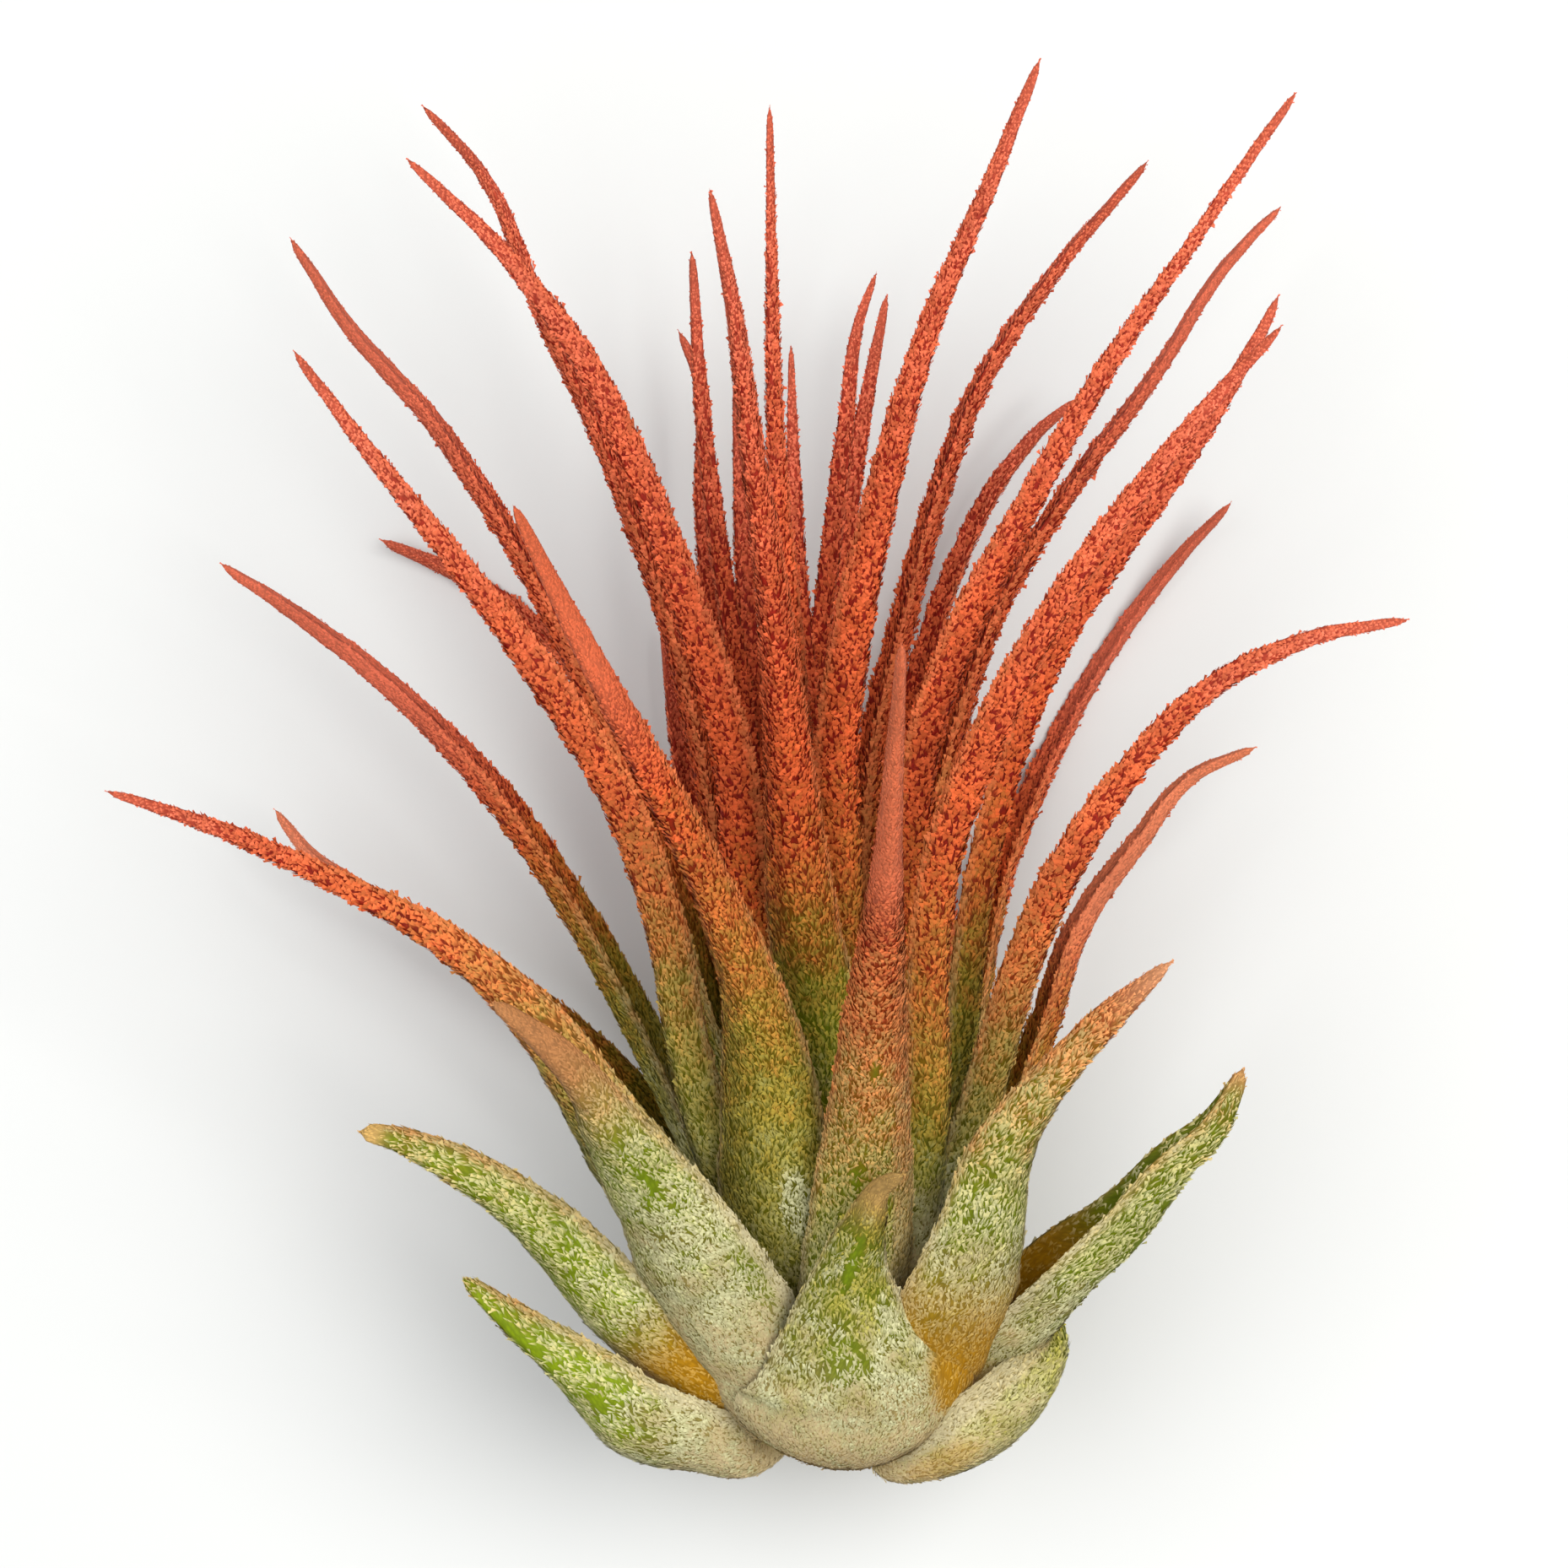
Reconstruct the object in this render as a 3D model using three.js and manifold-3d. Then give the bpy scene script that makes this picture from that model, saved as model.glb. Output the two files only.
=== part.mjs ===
// Air plant of the ionantha kind, lifted from its perch and lying on its side.
// A short stem carries a rosette of succulent leaves: spoon-like sheaths nested in a bulb,
// drawn out into channelled blades that end in thin points.
// Millimetres. X runs across the rosette, Y from the stem's foot to the leaf tips, and Z up
// from the surface that the plant lies on.
import * as THREE from 'three';
import { mergeVertices } from 'three/addons/utils/BufferGeometryUtils.js';
import Module from 'manifold-3d';

// Driving dimensions
const CLEARANCE = 0.3;
const WELD_DISTANCE = 0.001;
const SHORTEST_EDGES = [0.06, 0.08, 0.1, 0.13, 0.16];
const STEM_FOOT = new THREE.Vector3(5.1, -37.4, 9.5);
const STEM_DIRECTION = new THREE.Vector3(-0.05, 0.975, 0.215).normalize();
const STEM_LENGTH = 14.5;
const STEM_RADIUS = 2.8;
const STEM_TOP_RADIUS = 1.2;
const STEM_SIDES = 14;

// Leaf scars climb the stem one after another, outermost leaf first
const FIRST_SCAR = 0.8;
const SCAR_STEP = 0.3;
const SCAR_OFFSET = 0.8;
const SCAR_WIDTH_PER_RADIUS = 1.35;

// Sheaths of the leaves whose feet are buried in the bulb
const SHEATH_RISE = 5.0;
const SHEATH_OUTER_RADIUS = 6.4;
const SHEATH_INNER_RADIUS = 1.5;

// Blade sections: a crescent, nearly a half round where the blade is narrow and a thin spoon
// where the sheath is wide
const RING_COUNT = 14;
const LOOK_AHEAD = 0.02;
const SHEATH_THICKNESS = 0.9;
const BLADE_THICKNESS = 1.35;
const TIP_THICKNESS = 0.3;
const THICKNESS_PER_WIDTH = 0.55;
const NARROW_WIDTH = 2.0;
const WIDE_WIDTH = 6.0;
const NARROW_ARCH = 0.36;
const WIDE_ARCH = 0.22;
const MINIMUM_WIDTH = 0.6;
const ACROSS_OUTSIDE = [-1, -0.55, 0, 0.55, 1];
const ACROSS_INSIDE = [0.55, 0, -0.55];

// Leaves whose backs face the sky are twisted a little more towards it. A leaf of the table may
// carry its own twist, and its own depth of channel as a factor
const USUAL_TWIST = 0.5;
const BACK_LIMIT = -0.2;
const SECTION_CENTRE = 0.42;

// Surface that the plant lies on: leaves that would sink below it are pressed flat there
const REST_HEIGHT = 0;
const GROUND_SIZE = 200;

// Leaves from the stem's foot to its top. Each leaf is a row of points chosen by hand along its
// middle line, from sheath to tip: x, y, z and the width there
const LEAVES = {
  basal: [
    { twist: 0, line: [[5.1, -37.8, 17.1, 12.6], [5.1, -34.9, 20.1, 13.6], [5, -31.4, 22.6, 8.6],
      [5.4, -27.9, 24.6, 4.8], [6.2, -24.5, 26.8, 2.5], [7.1, -22.3, 28.4, 1.2], [8.1, -21.6, 29.8, 0.6]] },
    { line: [[5.1, -37.8, 3.1, 9.9], [5.1, -34.9, 1.2, 11.9], [5.1, -31.5, 0.5, 9.5], [4.6, -28, 0.4, 5.5],
      [4.4, -24.5, 0.5, 3], [4.1, -21, 1, 0.8]] },
    { twist: 1.3, depth: 1.2, line: [[-0.3, -38.4, 13.6, 3.9], [-3.4, -37.7, 16.1, 5.5],
      [-6.6, -36.5, 17.6, 6], [-9.5, -34.7, 18.6, 5.2], [-11.7, -32.9, 19.2, 3.8],
      [-14.1, -30.9, 19.6, 2.2], [-16.5, -28, 19.8, 0.6]] },
    { twist: 1.4, depth: 1.2, line: [[7.7, -38.8, 14.1, 2.9], [10.3, -38.2, 16.4, 4],
      [12.9, -36.5, 17.6, 4.5], [15.2, -34.4, 17.2, 3.8], [16.8, -32.4, 15.6, 2.2],
      [17.3, -30.6, 13.8, 0.5]] },
    { line: [[2.1, -38.1, 4.6, 5.4], [-0.3, -36.3, 3, 5.7], [-3.6, -34.3, 1.6, 4.3],
      [-6.3, -32.7, 0.8, 2.6], [-8.7, -31.5, 0.5, 0.6]] },
    { line: [[8.1, -38.1, 4.6, 5.4], [10.3, -36, 3, 5.9], [13.1, -33.7, 1.6, 4.3], [15.8, -31.7, 0.8, 2.5],
      [18.2, -30, 0.5, 0.6]] },
  ],
  outer: [
    { twist: 1.2, line: [[-1.5, -35.5, 15.1, 5.4], [-4.8, -32.7, 18.1, 6.2], [-7.9, -30, 20.1, 5.4],
      [-10.6, -27.3, 21.1, 4.1], [-13.3, -24.6, 21.9, 3.2], [-16.8, -21.9, 22.4, 2.5],
      [-20.4, -20, 22.2, 1.4], [-22.2, -19.6, 21.9, 1]] },
    { twist: -0.35, depth: 2.4, line: [[12.2, -35.3, 11.6, 4.3], [14.8, -31.9, 15.3, 5.5],
      [17.6, -28.3, 17.9, 5.5], [20.3, -24.7, 19.8, 4.7], [22.9, -21.5, 21.2, 3.1],
      [25.6, -19.1, 21.8, 1.6], [27.4, -16.1, 21.6, 0.4]] },
    { twist: 0.9, line: [[1.4, -36.7, 15.1, 5.3], [-0.5, -32.8, 19.1, 7.9], [-2.5, -28.4, 22.6, 7.6],
      [-4.7, -24.1, 26.1, 5.7], [-7.3, -19.7, 29.6, 3.8], [-9.5, -16.5, 32.4, 2.6],
      [-11.9, -13.8, 35.1, 1.6], [-14.2, -11.9, 37.1, 0.6]] },
    { twist: 0.8, line: [[9.3, -36.9, 13, 3.9], [11, -34.3, 16.2, 5.1], [11.9, -30.5, 20.8, 6.3],
      [12.6, -25.8, 24, 5.5], [14, -20.4, 26.2, 3.9], [16.6, -16.5, 27.6, 2.6], [20, -12.7, 28.6, 1.7],
      [22.9, -9.9, 29.6, 0.4]] },
    { line: [[3.1, -35.6, 4.8, 6.4], [1.7, -31.3, 2.8, 6], [0.4, -26, 1.8, 4], [-0.6, -20, 1, 2.5],
      [-1.3, -13.6, 0.8, 1.8], [-1.8, -7.6, 1.8, 0.5]] },
    { line: [[7.1, -35.6, 4.8, 6.4], [8.6, -31.3, 2.8, 6], [9.6, -26, 1.8, 4], [10.1, -20, 1, 2.5],
      [10.4, -13.6, 0.8, 1.8], [10.5, -7.6, 1.8, 0.5]] },
  ],
  middle: [
    { twist: 1.1, line: [[0.4, -33.4, 14.1, 5.3], [-3.1, -28.1, 16.6, 7.2], [-6.2, -23, 18.6, 6.5],
      [-8.7, -18.9, 19.8, 5.1], [-11.4, -14.9, 20.6, 4], [-15.7, -10.6, 20.9, 2.9], [-20.2, -8, 20.9, 2.3],
      [-24.5, -5.6, 20.6, 1.6], [-30.7, -2.7, 20.2, 0.9], [-36.6, -0.5, 19.6, 0.3]] },
    { line: [[3.1, -32.4, 15.1, 5.8], [1.7, -27.3, 19.1, 7.2], [0.9, -22.4, 22.1, 6.9],
      [0.6, -17.1, 24.6, 5.7], [-0.3, -11.8, 27.6, 3.9], [-2.3, -6.4, 30.6, 2.7], [-5.9, 0.9, 35.1, 2.1],
      [-9.6, 8, 39.6, 1.4], [-12.8, 14.7, 44.1, 0.5]] },
    { line: [[5.3, -34.3, 15.6, 5.3], [5.5, -30.1, 19.6, 6.2], [5.9, -25.7, 22.6, 6.2],
      [6.3, -19.8, 26.6, 5], [6.6, -14.1, 30.6, 3.8], [7.1, -7, 36.1, 2.2], [7.4, -1, 41.6, 1.3],
      [7.8, 7.2, 49.6, 0.5]] },
    { line: [[9.2, -29.6, 13.1, 4.3], [11.3, -23.7, 15.1, 3.9], [13.1, -17.6, 17.6, 3.2],
      [14.7, -11.3, 20.1, 2.7], [17, -5.6, 22.6, 2.4], [20.7, 0.2, 24.1, 1.7], [25.2, 4.9, 24.6, 1.3],
      [31.3, 7.9, 24.2, 0.8], [36.5, 9.1, 23.2, 0.3]] },
    { line: [[0.2, -28, 8.6, 3.9], [-6.7, -18.8, 7.1, 3.4], [-12.6, -13.1, 7.1, 2.3],
      [-18.5, -9, 7.2, 1.6], [-22.9, -6.3, 7.1, 1.2], [-26.3, -3.8, 6.8, 0.7], [-28, -1.6, 6.6, 0.3]] },
    { line: [[9.5, -27, 9.6, 3.7], [14.3, -19.7, 9.1, 2.9], [16.7, -14, 10.1, 2.2],
      [18.7, -8.2, 11.1, 1.9], [22, -3.3, 11.8, 1.3], [24.9, 0.3, 11.8, 0.8], [28.7, 2, 11.6, 0.3]] },
    { line: [[0.2, -26.9, 10.6, 4.4], [-3.7, -21.1, 10.1, 3.9], [-6.4, -15.2, 10.6, 3],
      [-10, -7.9, 11.8, 2.5], [-15.3, -0.1, 13.1, 2], [-20.5, 5.2, 13.8, 1.5], [-25.7, 9.3, 14.1, 1],
      [-30.6, 12.5, 14.1, 0.3]] },
    { line: [[5.1, -32, 7.1, 5.4], [4.9, -26.7, 5.6, 4.7], [4.4, -20.4, 4.6, 3.3], [3.9, -13, 3.6, 2.3],
      [2.9, -5.6, 2.8, 1.7], [2.1, 1.4, 2.6, 1.1], [1.7, 6.3, 3.1, 0.4]] },
    { line: [[2.1, -27.1, 8.1, 3.9], [-0.3, -19.3, 6.4, 3], [-2.3, -10.5, 4.6, 2.2],
      [-3.7, -2.6, 3.4, 1.7], [-4.8, 4.3, 2.8, 1.2], [-5.5, 9.3, 2.8, 0.4]] },
    { line: [[8, -27.1, 8.1, 3.9], [9.8, -19.3, 6.4, 3], [10.6, -11.5, 4.6, 2.2], [11.1, -4.6, 3.4, 1.7],
      [12, -0.1, 3, 1.3], [13.5, 4.3, 3, 0.4]] },
  ],
  upper: [
    { line: [[1.7, -28.5, 15.1, 4.3], [-2.4, -21.2, 18.1, 3.8], [-4, -14.9, 20.1, 3.1],
      [-5.2, -8.2, 22.1, 2.8], [-7.5, -1.3, 23.8, 2.6], [-11.1, 4.8, 25.1, 2.3], [-16.2, 11.8, 25.6, 1.4],
      [-21, 17.8, 25.6, 0.9], [-25.7, 24, 25.2, 0.3]] },
    { line: [[7.9, -30.4, 16.1, 3.8], [9.3, -23.9, 20.1, 4], [9.9, -17.2, 22.4, 3.1],
      [9.8, -11, 24.1, 2.6], [10.5, -4.4, 26, 2.6], [12.4, 1.7, 27.6, 2.6], [15.9, 8.7, 28.6, 1.9],
      [21.2, 16.3, 28.1, 1.4], [25.5, 21.3, 26.8, 0.8], [29.3, 25.4, 25.2, 0.3]] },
    { line: [[1.2, -24, 10.6, 3.4], [-1.8, -15.8, 7.6, 2.5], [-4.8, -6.1, 4.2, 1.9], [-8, 1.9, 1.6, 1.4],
      [-11.9, 8.1, 0.3, 1.2], [-16.8, 11.8, 0.5, 1], [-22.1, 14.3, 1.4, 0.4]] },
    { line: [[9, -25, 10.1, 3.1], [12.2, -15.3, 7.1, 2.2], [14.3, -5.6, 3.2, 1.7], [17.4, 1.7, 0.6, 1.4],
      [20.7, 7.6, 0.4, 1.1], [24.6, 12.9, 1.6, 0.8], [27.8, 16.4, 3, 0.3]] },
    { line: [[8.4, -26.3, 13.1, 3.9], [11.8, -16.5, 14.1, 2.7], [12.9, -7.3, 16.1, 2.1],
      [14.5, -0, 17.6, 1.9], [17.3, 7.4, 18.6, 1.8], [20.8, 13, 19.1, 1.6], [25.2, 19.4, 19.6, 1.1],
      [27.5, 23.7, 19.8, 0.8], [29.5, 27.4, 20.1, 0.3]] },
    { line: [[6.6, -20.7, 7.6, 2.9], [7.3, -11, 5.1, 2.3], [8.2, -2.6, 3.8, 1.9], [9.4, 6.3, 3, 1.6],
      [11.1, 12.3, 2.8, 1.4], [13.8, 17.9, 3, 1.1], [16.2, 20.8, 3.2, 0.7], [18.8, 22.5, 3.6, 0.4]] },
  ],
  inner: [
    { line: [[4.5, -26.6, 15.6, 5.3], [4, -19.7, 18.6, 5.3], [3.3, -12.5, 21.6, 4.7], [2.5, -7, 24.1, 4],
      [1.9, -0.1, 26.6, 2.9], [1, 9.6, 30.6, 2], [-0.1, 17.6, 33.6, 1.4], [-1.2, 25.9, 36.4, 0.9],
      [-2.4, 32, 38.1, 0.4]] },
    { line: [[2.6, -25.2, 14.1, 4.3], [0.8, -15.5, 17.1, 3.6], [-0.5, -6.3, 19.6, 3.1],
      [-1.2, 1.3, 21.6, 2.9], [-2.7, 8.2, 23.1, 2.4], [-5, 14.9, 24.1, 1.9], [-9.2, 23, 24.8, 1.5],
      [-13.9, 29.4, 25, 0.9], [-19.4, 34.8, 24.6, 0.3]] },
    { line: [[6.5, -25.2, 14.1, 4], [8.5, -14, 17.1, 3.1], [8.9, -5.4, 19.6, 2.5], [9.4, 1.8, 21.6, 2.3],
      [11.7, 8.7, 23.6, 2.1], [15, 15.2, 25.1, 1.6], [19.4, 22.9, 26.1, 1.1], [24.1, 29.8, 26.6, 0.6],
      [27.1, 34.2, 26.6, 0.5], [30, 38.3, 26.4, 0.3]] },
    { line: [[2.1, -24.9, 12.1, 3.4], [-1.7, -15.7, 12.1, 2.7], [-5.1, -5, 12.8, 2.1],
      [-9.2, 4.7, 13.6, 1.6], [-13.7, 13.5, 14.4, 1.4], [-18.4, 20.6, 15, 1.2], [-23.4, 26.3, 15.4, 0.8],
      [-26.5, 31, 15.6, 0.3]] },
    { line: [[7, -22, 11.6, 3.1], [9.3, -9.3, 12.6, 2.2], [11.1, 2.3, 13.6, 1.6], [14.2, 10.7, 14.2, 1.3],
      [18.1, 17, 14.6, 1.1], [22.9, 23.5, 14.8, 0.8], [27, 29.8, 14.6, 0.6], [30, 32.9, 14.4, 0.3]] },
  ],
  heart: [
    { line: [[5.3, -24.2, 14.6, 3.7], [5.4, -14.5, 17.6, 3.2], [5, -5.4, 20.6, 2.9], [4.8, 2.2, 22.9, 2.7],
      [5.7, 9, 24.8, 2.4], [7.3, 16.7, 26.6, 1.9], [9.6, 24.9, 28.1, 1.3], [12.9, 32.8, 29.2, 0.9],
      [15.7, 39.8, 29.6, 0.4]] },
    { line: [[2.6, -22.9, 12.1, 3.1], [-1, -9.8, 12.6, 2.5], [-2.6, -0.1, 13.6, 2.2],
      [-4.8, 9.5, 14.4, 1.9], [-6.4, 13.8, 14.6, 1.7], [-8.5, 19.1, 14.8, 1.4], [-12.3, 27.1, 15.2, 1],
      [-15.7, 34.9, 15.4, 0.6], [-19, 38.6, 15.2, 0.3]] },
    { line: [[5.5, -21.9, 12.6, 2.9], [6.2, -9.8, 14.6, 2.2], [6.6, 1.8, 16.1, 1.8], [8.4, 9.4, 17, 1.6],
      [10.2, 16, 17.6, 1.4], [12.8, 22.3, 18, 1.2], [17.7, 29.5, 18, 0.7], [22.2, 35.2, 17.6, 0.3]] },
    { line: [[3.4, -19.6, 11.6, 2.4], [0.4, -7.4, 11.6, 1.8], [-0.9, 4.7, 11.6, 1.3],
      [-2.2, 13.5, 11.6, 1.1], [-3.2, 22, 11.6, 0.8], [-3.7, 30.5, 11.6, 0.4]] },
    { line: [[4.8, -19.7, 9.1, 2.2], [3.9, -7.5, 7.6, 1.7], [4.1, 6.3, 6.6, 1.2], [5.3, 15, 6.1, 1.1],
      [6.3, 21.5, 5.9, 0.9], [7.6, 28.4, 6.1, 0.4]] },
    { line: [[3.6, -18.2, 10.1, 2.2], [0.9, -6.5, 9.1, 1.7], [-0.3, 5.5, 8.6, 1.2], [-0.8, 13.5, 8.6, 1],
      [-1.2, 23.3, 8.6, 0.4]] },
    { line: [[3.1, -18.2, 9.1, 2.2], [-0.3, -6, 7.6, 1.7], [-2.3, 6.3, 6.6, 1.2], [-3.2, 16.1, 6.6, 0.9],
      [-3.5, 23.9, 7, 0.7], [-4.5, 26.2, 7.4, 0.4]] },
    { line: [[4.5, -19.6, 11.6, 2.4], [3.5, -7.4, 11.6, 1.8], [3.3, 4.7, 11.6, 1.2], [4.3, 13, 11.6, 1.1],
      [5.2, 20.7, 11.6, 0.9], [5.9, 26.3, 11.6, 0.6], [6.9, 29.3, 11.6, 0.3]] },
    { line: [[3.8, -20.4, 14.1, 2.7], [2.8, -8.3, 17.1, 2.3], [2.2, 2.2, 19.6, 1.9],
      [1.6, 10.8, 21.6, 1.5], [1.1, 18.8, 23.2, 1], [0.9, 27.8, 24.6, 0.6], [0.8, 37.6, 25.6, 0.3]] },
    { line: [[4.3, -20, 12.6, 2.4], [3.7, -8.3, 14.1, 1.7], [3, 4.3, 15.4, 1.1], [2.3, 13.8, 16.2, 0.9],
      [2.1, 19.5, 16.7, 0.6], [2, 24.8, 17, 0.3]] },
  ],
};

// Rings whose feet are buried in the bulb
const BURIED_RINGS = ['inner', 'heart'];

const COLOURS = {
  stem: { color: '#6b4a2c', roughness: 0.9 },
  basal: { color: '#97a557', roughness: 0.75 },
  outer: { color: '#a9a05a', roughness: 0.75 },
  middle: { color: '#c07a45', roughness: 0.8 },
  upper: { color: '#c8693f', roughness: 0.8 },
  inner: { color: '#cc5f3f', roughness: 0.8 },
  heart: { color: '#cf5b42', roughness: 0.8 },
};

const wasm = await Module();
wasm.setup();

function smoothstep(from, to, value) {
  const t = THREE.MathUtils.clamp((value - from) / (to - from), 0, 1);
  return t * t * (3 - 2 * t);
}

function solidOf(geometry) {
  const plain = geometry.clone();
  plain.deleteAttribute('normal');
  plain.deleteAttribute('uv');
  const merged = mergeVertices(plain, WELD_DISTANCE);
  return new wasm.Manifold(new wasm.Mesh({
    numProp: 3,
    vertProperties: new Float32Array(merged.attributes.position.array),
    triVerts: new Uint32Array(merged.index.array),
  }));
}

function geometryOf(solid) {
  const mesh = solid.getMesh();
  const geometry = new THREE.BufferGeometry();
  geometry.setAttribute('position', new THREE.BufferAttribute(mesh.vertProperties, mesh.numProp));
  geometry.setIndex(new THREE.BufferAttribute(mesh.triVerts, 1));
  geometry.computeVertexNormals();
  return geometry;
}

function stemRadius(height) {
  return THREE.MathUtils.lerp(STEM_RADIUS, STEM_TOP_RADIUS, Math.min(height / STEM_LENGTH, 1));
}

function stemPoint(height) {
  return STEM_FOOT.clone().addScaledVector(STEM_DIRECTION, height);
}

// Part of an offset from the stem's line that is square to it
function awayFromStem(point) {
  const offset = point.clone().sub(STEM_FOOT);
  return offset.addScaledVector(STEM_DIRECTION, -offset.dot(STEM_DIRECTION));
}

// Direction in which a leaf leaves the stem: the mean of its points' offsets from the stem's line
function outwardOf(points) {
  const sum = new THREE.Vector3();
  for (const [x, y, z] of points) {
    sum.add(awayFromStem(new THREE.Vector3(x, y, z)));
  }
  return sum.normalize();
}

// The leaf's own points, led back to its scar on the stem
function growLeaf({ line: points, twist, depth = 1 }, order, count, buried) {
  const outward = outwardOf(points);
  const scar = FIRST_SCAR + SCAR_STEP * order;
  const foot = stemPoint(scar).addScaledVector(outward, stemRadius(scar) + SCAR_OFFSET);
  const footWidth = SCAR_WIDTH_PER_RADIUS * stemRadius(scar);
  const knots = points.map((point) => [...point]);
  if (buried) {
    const radius = THREE.MathUtils.lerp(SHEATH_OUTER_RADIUS, SHEATH_INNER_RADIUS, order / count);
    const sheath = stemPoint(scar + SHEATH_RISE).addScaledVector(outward, radius);
    knots[0] = [sheath.x, sheath.y, sheath.z, points[0][3]];
  }
  knots.unshift([foot.x, foot.y, foot.z, footWidth]);
  return { knots, outward, depth, twist: twist ?? (outward.z > BACK_LIMIT ? USUAL_TWIST : 0) };
}

// Smooth curve through the knots, evaluated for every component at once
function curveAt(knots, s) {
  const last = knots.length - 1;
  const step = (i) => Math.hypot(...[0, 1, 2].map((k) => knots[i + 1][k] - knots[i][k]));
  const slope = (i, k) => (knots[i + 1][k] - knots[i][k]) / step(i);
  const tangent = (i, k) => {
    if (i === 0) return slope(0, k);
    if (i === last) return slope(last - 1, k);
    const before = step(i - 1);
    const after = step(i);
    return (slope(i - 1, k) * after + slope(i, k) * before) / (before + after);
  };
  const i = Math.min(Math.floor(s), last - 1);
  const t = s - i;
  const length = step(i);
  return [0, 1, 2, 3].map((k) => (
    knots[i][k] * (1 + 2 * t) * (1 - t) ** 2
    + knots[i + 1][k] * t * t * (3 - 2 * t)
    + tangent(i, k) * length * t * (1 - t) ** 2
    - tangent(i + 1, k) * length * t * t * (1 - t)
  ));
}

function thicknessAt(width) {
  const narrow = Math.min(TIP_THICKNESS + THICKNESS_PER_WIDTH * width, BLADE_THICKNESS);
  return THREE.MathUtils.lerp(narrow, SHEATH_THICKNESS, smoothstep(NARROW_WIDTH, WIDE_WIDTH, width));
}

function archAt(width) {
  return width * THREE.MathUtils.lerp(NARROW_ARCH, WIDE_ARCH, smoothstep(NARROW_WIDTH, WIDE_WIDTH, width));
}

// One ring of the leaf's skin: across the outer face, then back across the inner one
function ringAt({ knots, outward, twist, depth }, s, grow) {
  const last = knots.length - 1;
  const [x, y, z, rawWidth] = curveAt(knots, s);
  const width = Math.max(rawWidth, MINIMUM_WIDTH);
  const ahead = curveAt(knots, Math.min(s + LOOK_AHEAD, last));
  const behind = curveAt(knots, Math.max(s - LOOK_AHEAD, 0));
  const along = new THREE.Vector3(
    ahead[0] - behind[0], ahead[1] - behind[1], ahead[2] - behind[2]).normalize();
  const across = STEM_DIRECTION.clone().cross(outward);
  across.addScaledVector(along, -across.dot(along)).normalize();
  const out = across.clone().cross(along);
  out.z += twist;
  out.addScaledVector(along, -out.dot(along)).normalize();
  across.crossVectors(along, out);
  const half = width / 2 + grow;
  const thick = thicknessAt(width) / 2 + grow;
  const arch = archAt(width) * depth;
  const end = s <= 0 ? -grow : (s >= last ? grow : 0);
  const centre = new THREE.Vector3(x, y, z).addScaledVector(along, end);
  const point = (v, side) => centre.clone()
    .addScaledVector(across, half * v)
    .addScaledVector(out, arch * (SECTION_CENTRE - v * v) + side * thick * Math.sqrt(1 - v * v));
  return [
    ...ACROSS_OUTSIDE.map((v) => point(v, 1)),
    ...ACROSS_INSIDE.map((v) => point(v, -1)),
  ];
}

function leafSolid(leaf, grow = 0) {
  const positions = [];
  const faces = [];
  const sides = ACROSS_OUTSIDE.length + ACROSS_INSIDE.length;
  const last = leaf.knots.length - 1;
  for (let ring = 0; ring < RING_COUNT; ring += 1) {
    const s = last * ring / (RING_COUNT - 1);
    for (const point of ringAt(leaf, s, grow)) positions.push(...point.toArray());
  }
  for (let ring = 0; ring < RING_COUNT - 1; ring += 1) {
    for (let side = 0; side < sides; side += 1) {
      const a = ring * sides + side;
      const b = ring * sides + (side + 1) % sides;
      faces.push(a, b, a + sides, b, b + sides, a + sides);
    }
  }
  const top = (RING_COUNT - 1) * sides;
  for (let side = 1; side < sides - 1; side += 1) {
    faces.push(0, side + 1, side);
    faces.push(top, top + side, top + side + 1);
  }
  const geometry = new THREE.BufferGeometry();
  geometry.setAttribute('position', new THREE.Float32BufferAttribute(positions, 3));
  geometry.setIndex(faces);
  return solidOf(geometry);
}

function stemSolid(grow = 0) {
  const bottom = STEM_RADIUS + grow;
  const top = STEM_TOP_RADIUS + grow;
  const geometry = new THREE.CylinderGeometry(top, bottom, STEM_LENGTH + 2 * grow, STEM_SIDES, 1);
  geometry.translate(0, STEM_LENGTH / 2, 0);
  const turn = new THREE.Quaternion().setFromUnitVectors(new THREE.Vector3(0, 1, 0), STEM_DIRECTION);
  geometry.applyQuaternion(turn);
  geometry.translate(STEM_FOOT.x, STEM_FOOT.y, STEM_FOOT.z);
  return solidOf(geometry);
}

function groundSolid() {
  const geometry = new THREE.BoxGeometry(GROUND_SIZE, GROUND_SIZE, GROUND_SIZE);
  geometry.translate(0, 0, REST_HEIGHT - GROUND_SIZE / 2);
  return solidOf(geometry);
}

function boxesMeet(a, b) {
  const first = a.boundingBox();
  const second = b.boundingBox();
  return [0, 1, 2].every((k) => first.min[k] < second.max[k] && second.min[k] < first.max[k]);
}

function largestPiece(solid) {
  const pieces = solid.decompose();
  return pieces.reduce((best, piece) => (piece.volume() > best.volume() ? piece : best));
}

// True where exactly two faces meet at every edge
function edgesPairUp(geometry) {
  const faces = geometry.index.array;
  const counts = new Map();
  for (let i = 0; i < faces.length; i += 3) {
    for (let k = 0; k < 3; k += 1) {
      const ends = [faces[i + k], faces[i + (k + 1) % 3]].sort((a, b) => a - b);
      const edge = ends.join('_');
      counts.set(edge, (counts.get(edge) ?? 0) + 1);
    }
  }
  return [...counts.values()].every((count) => count === 2);
}

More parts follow.
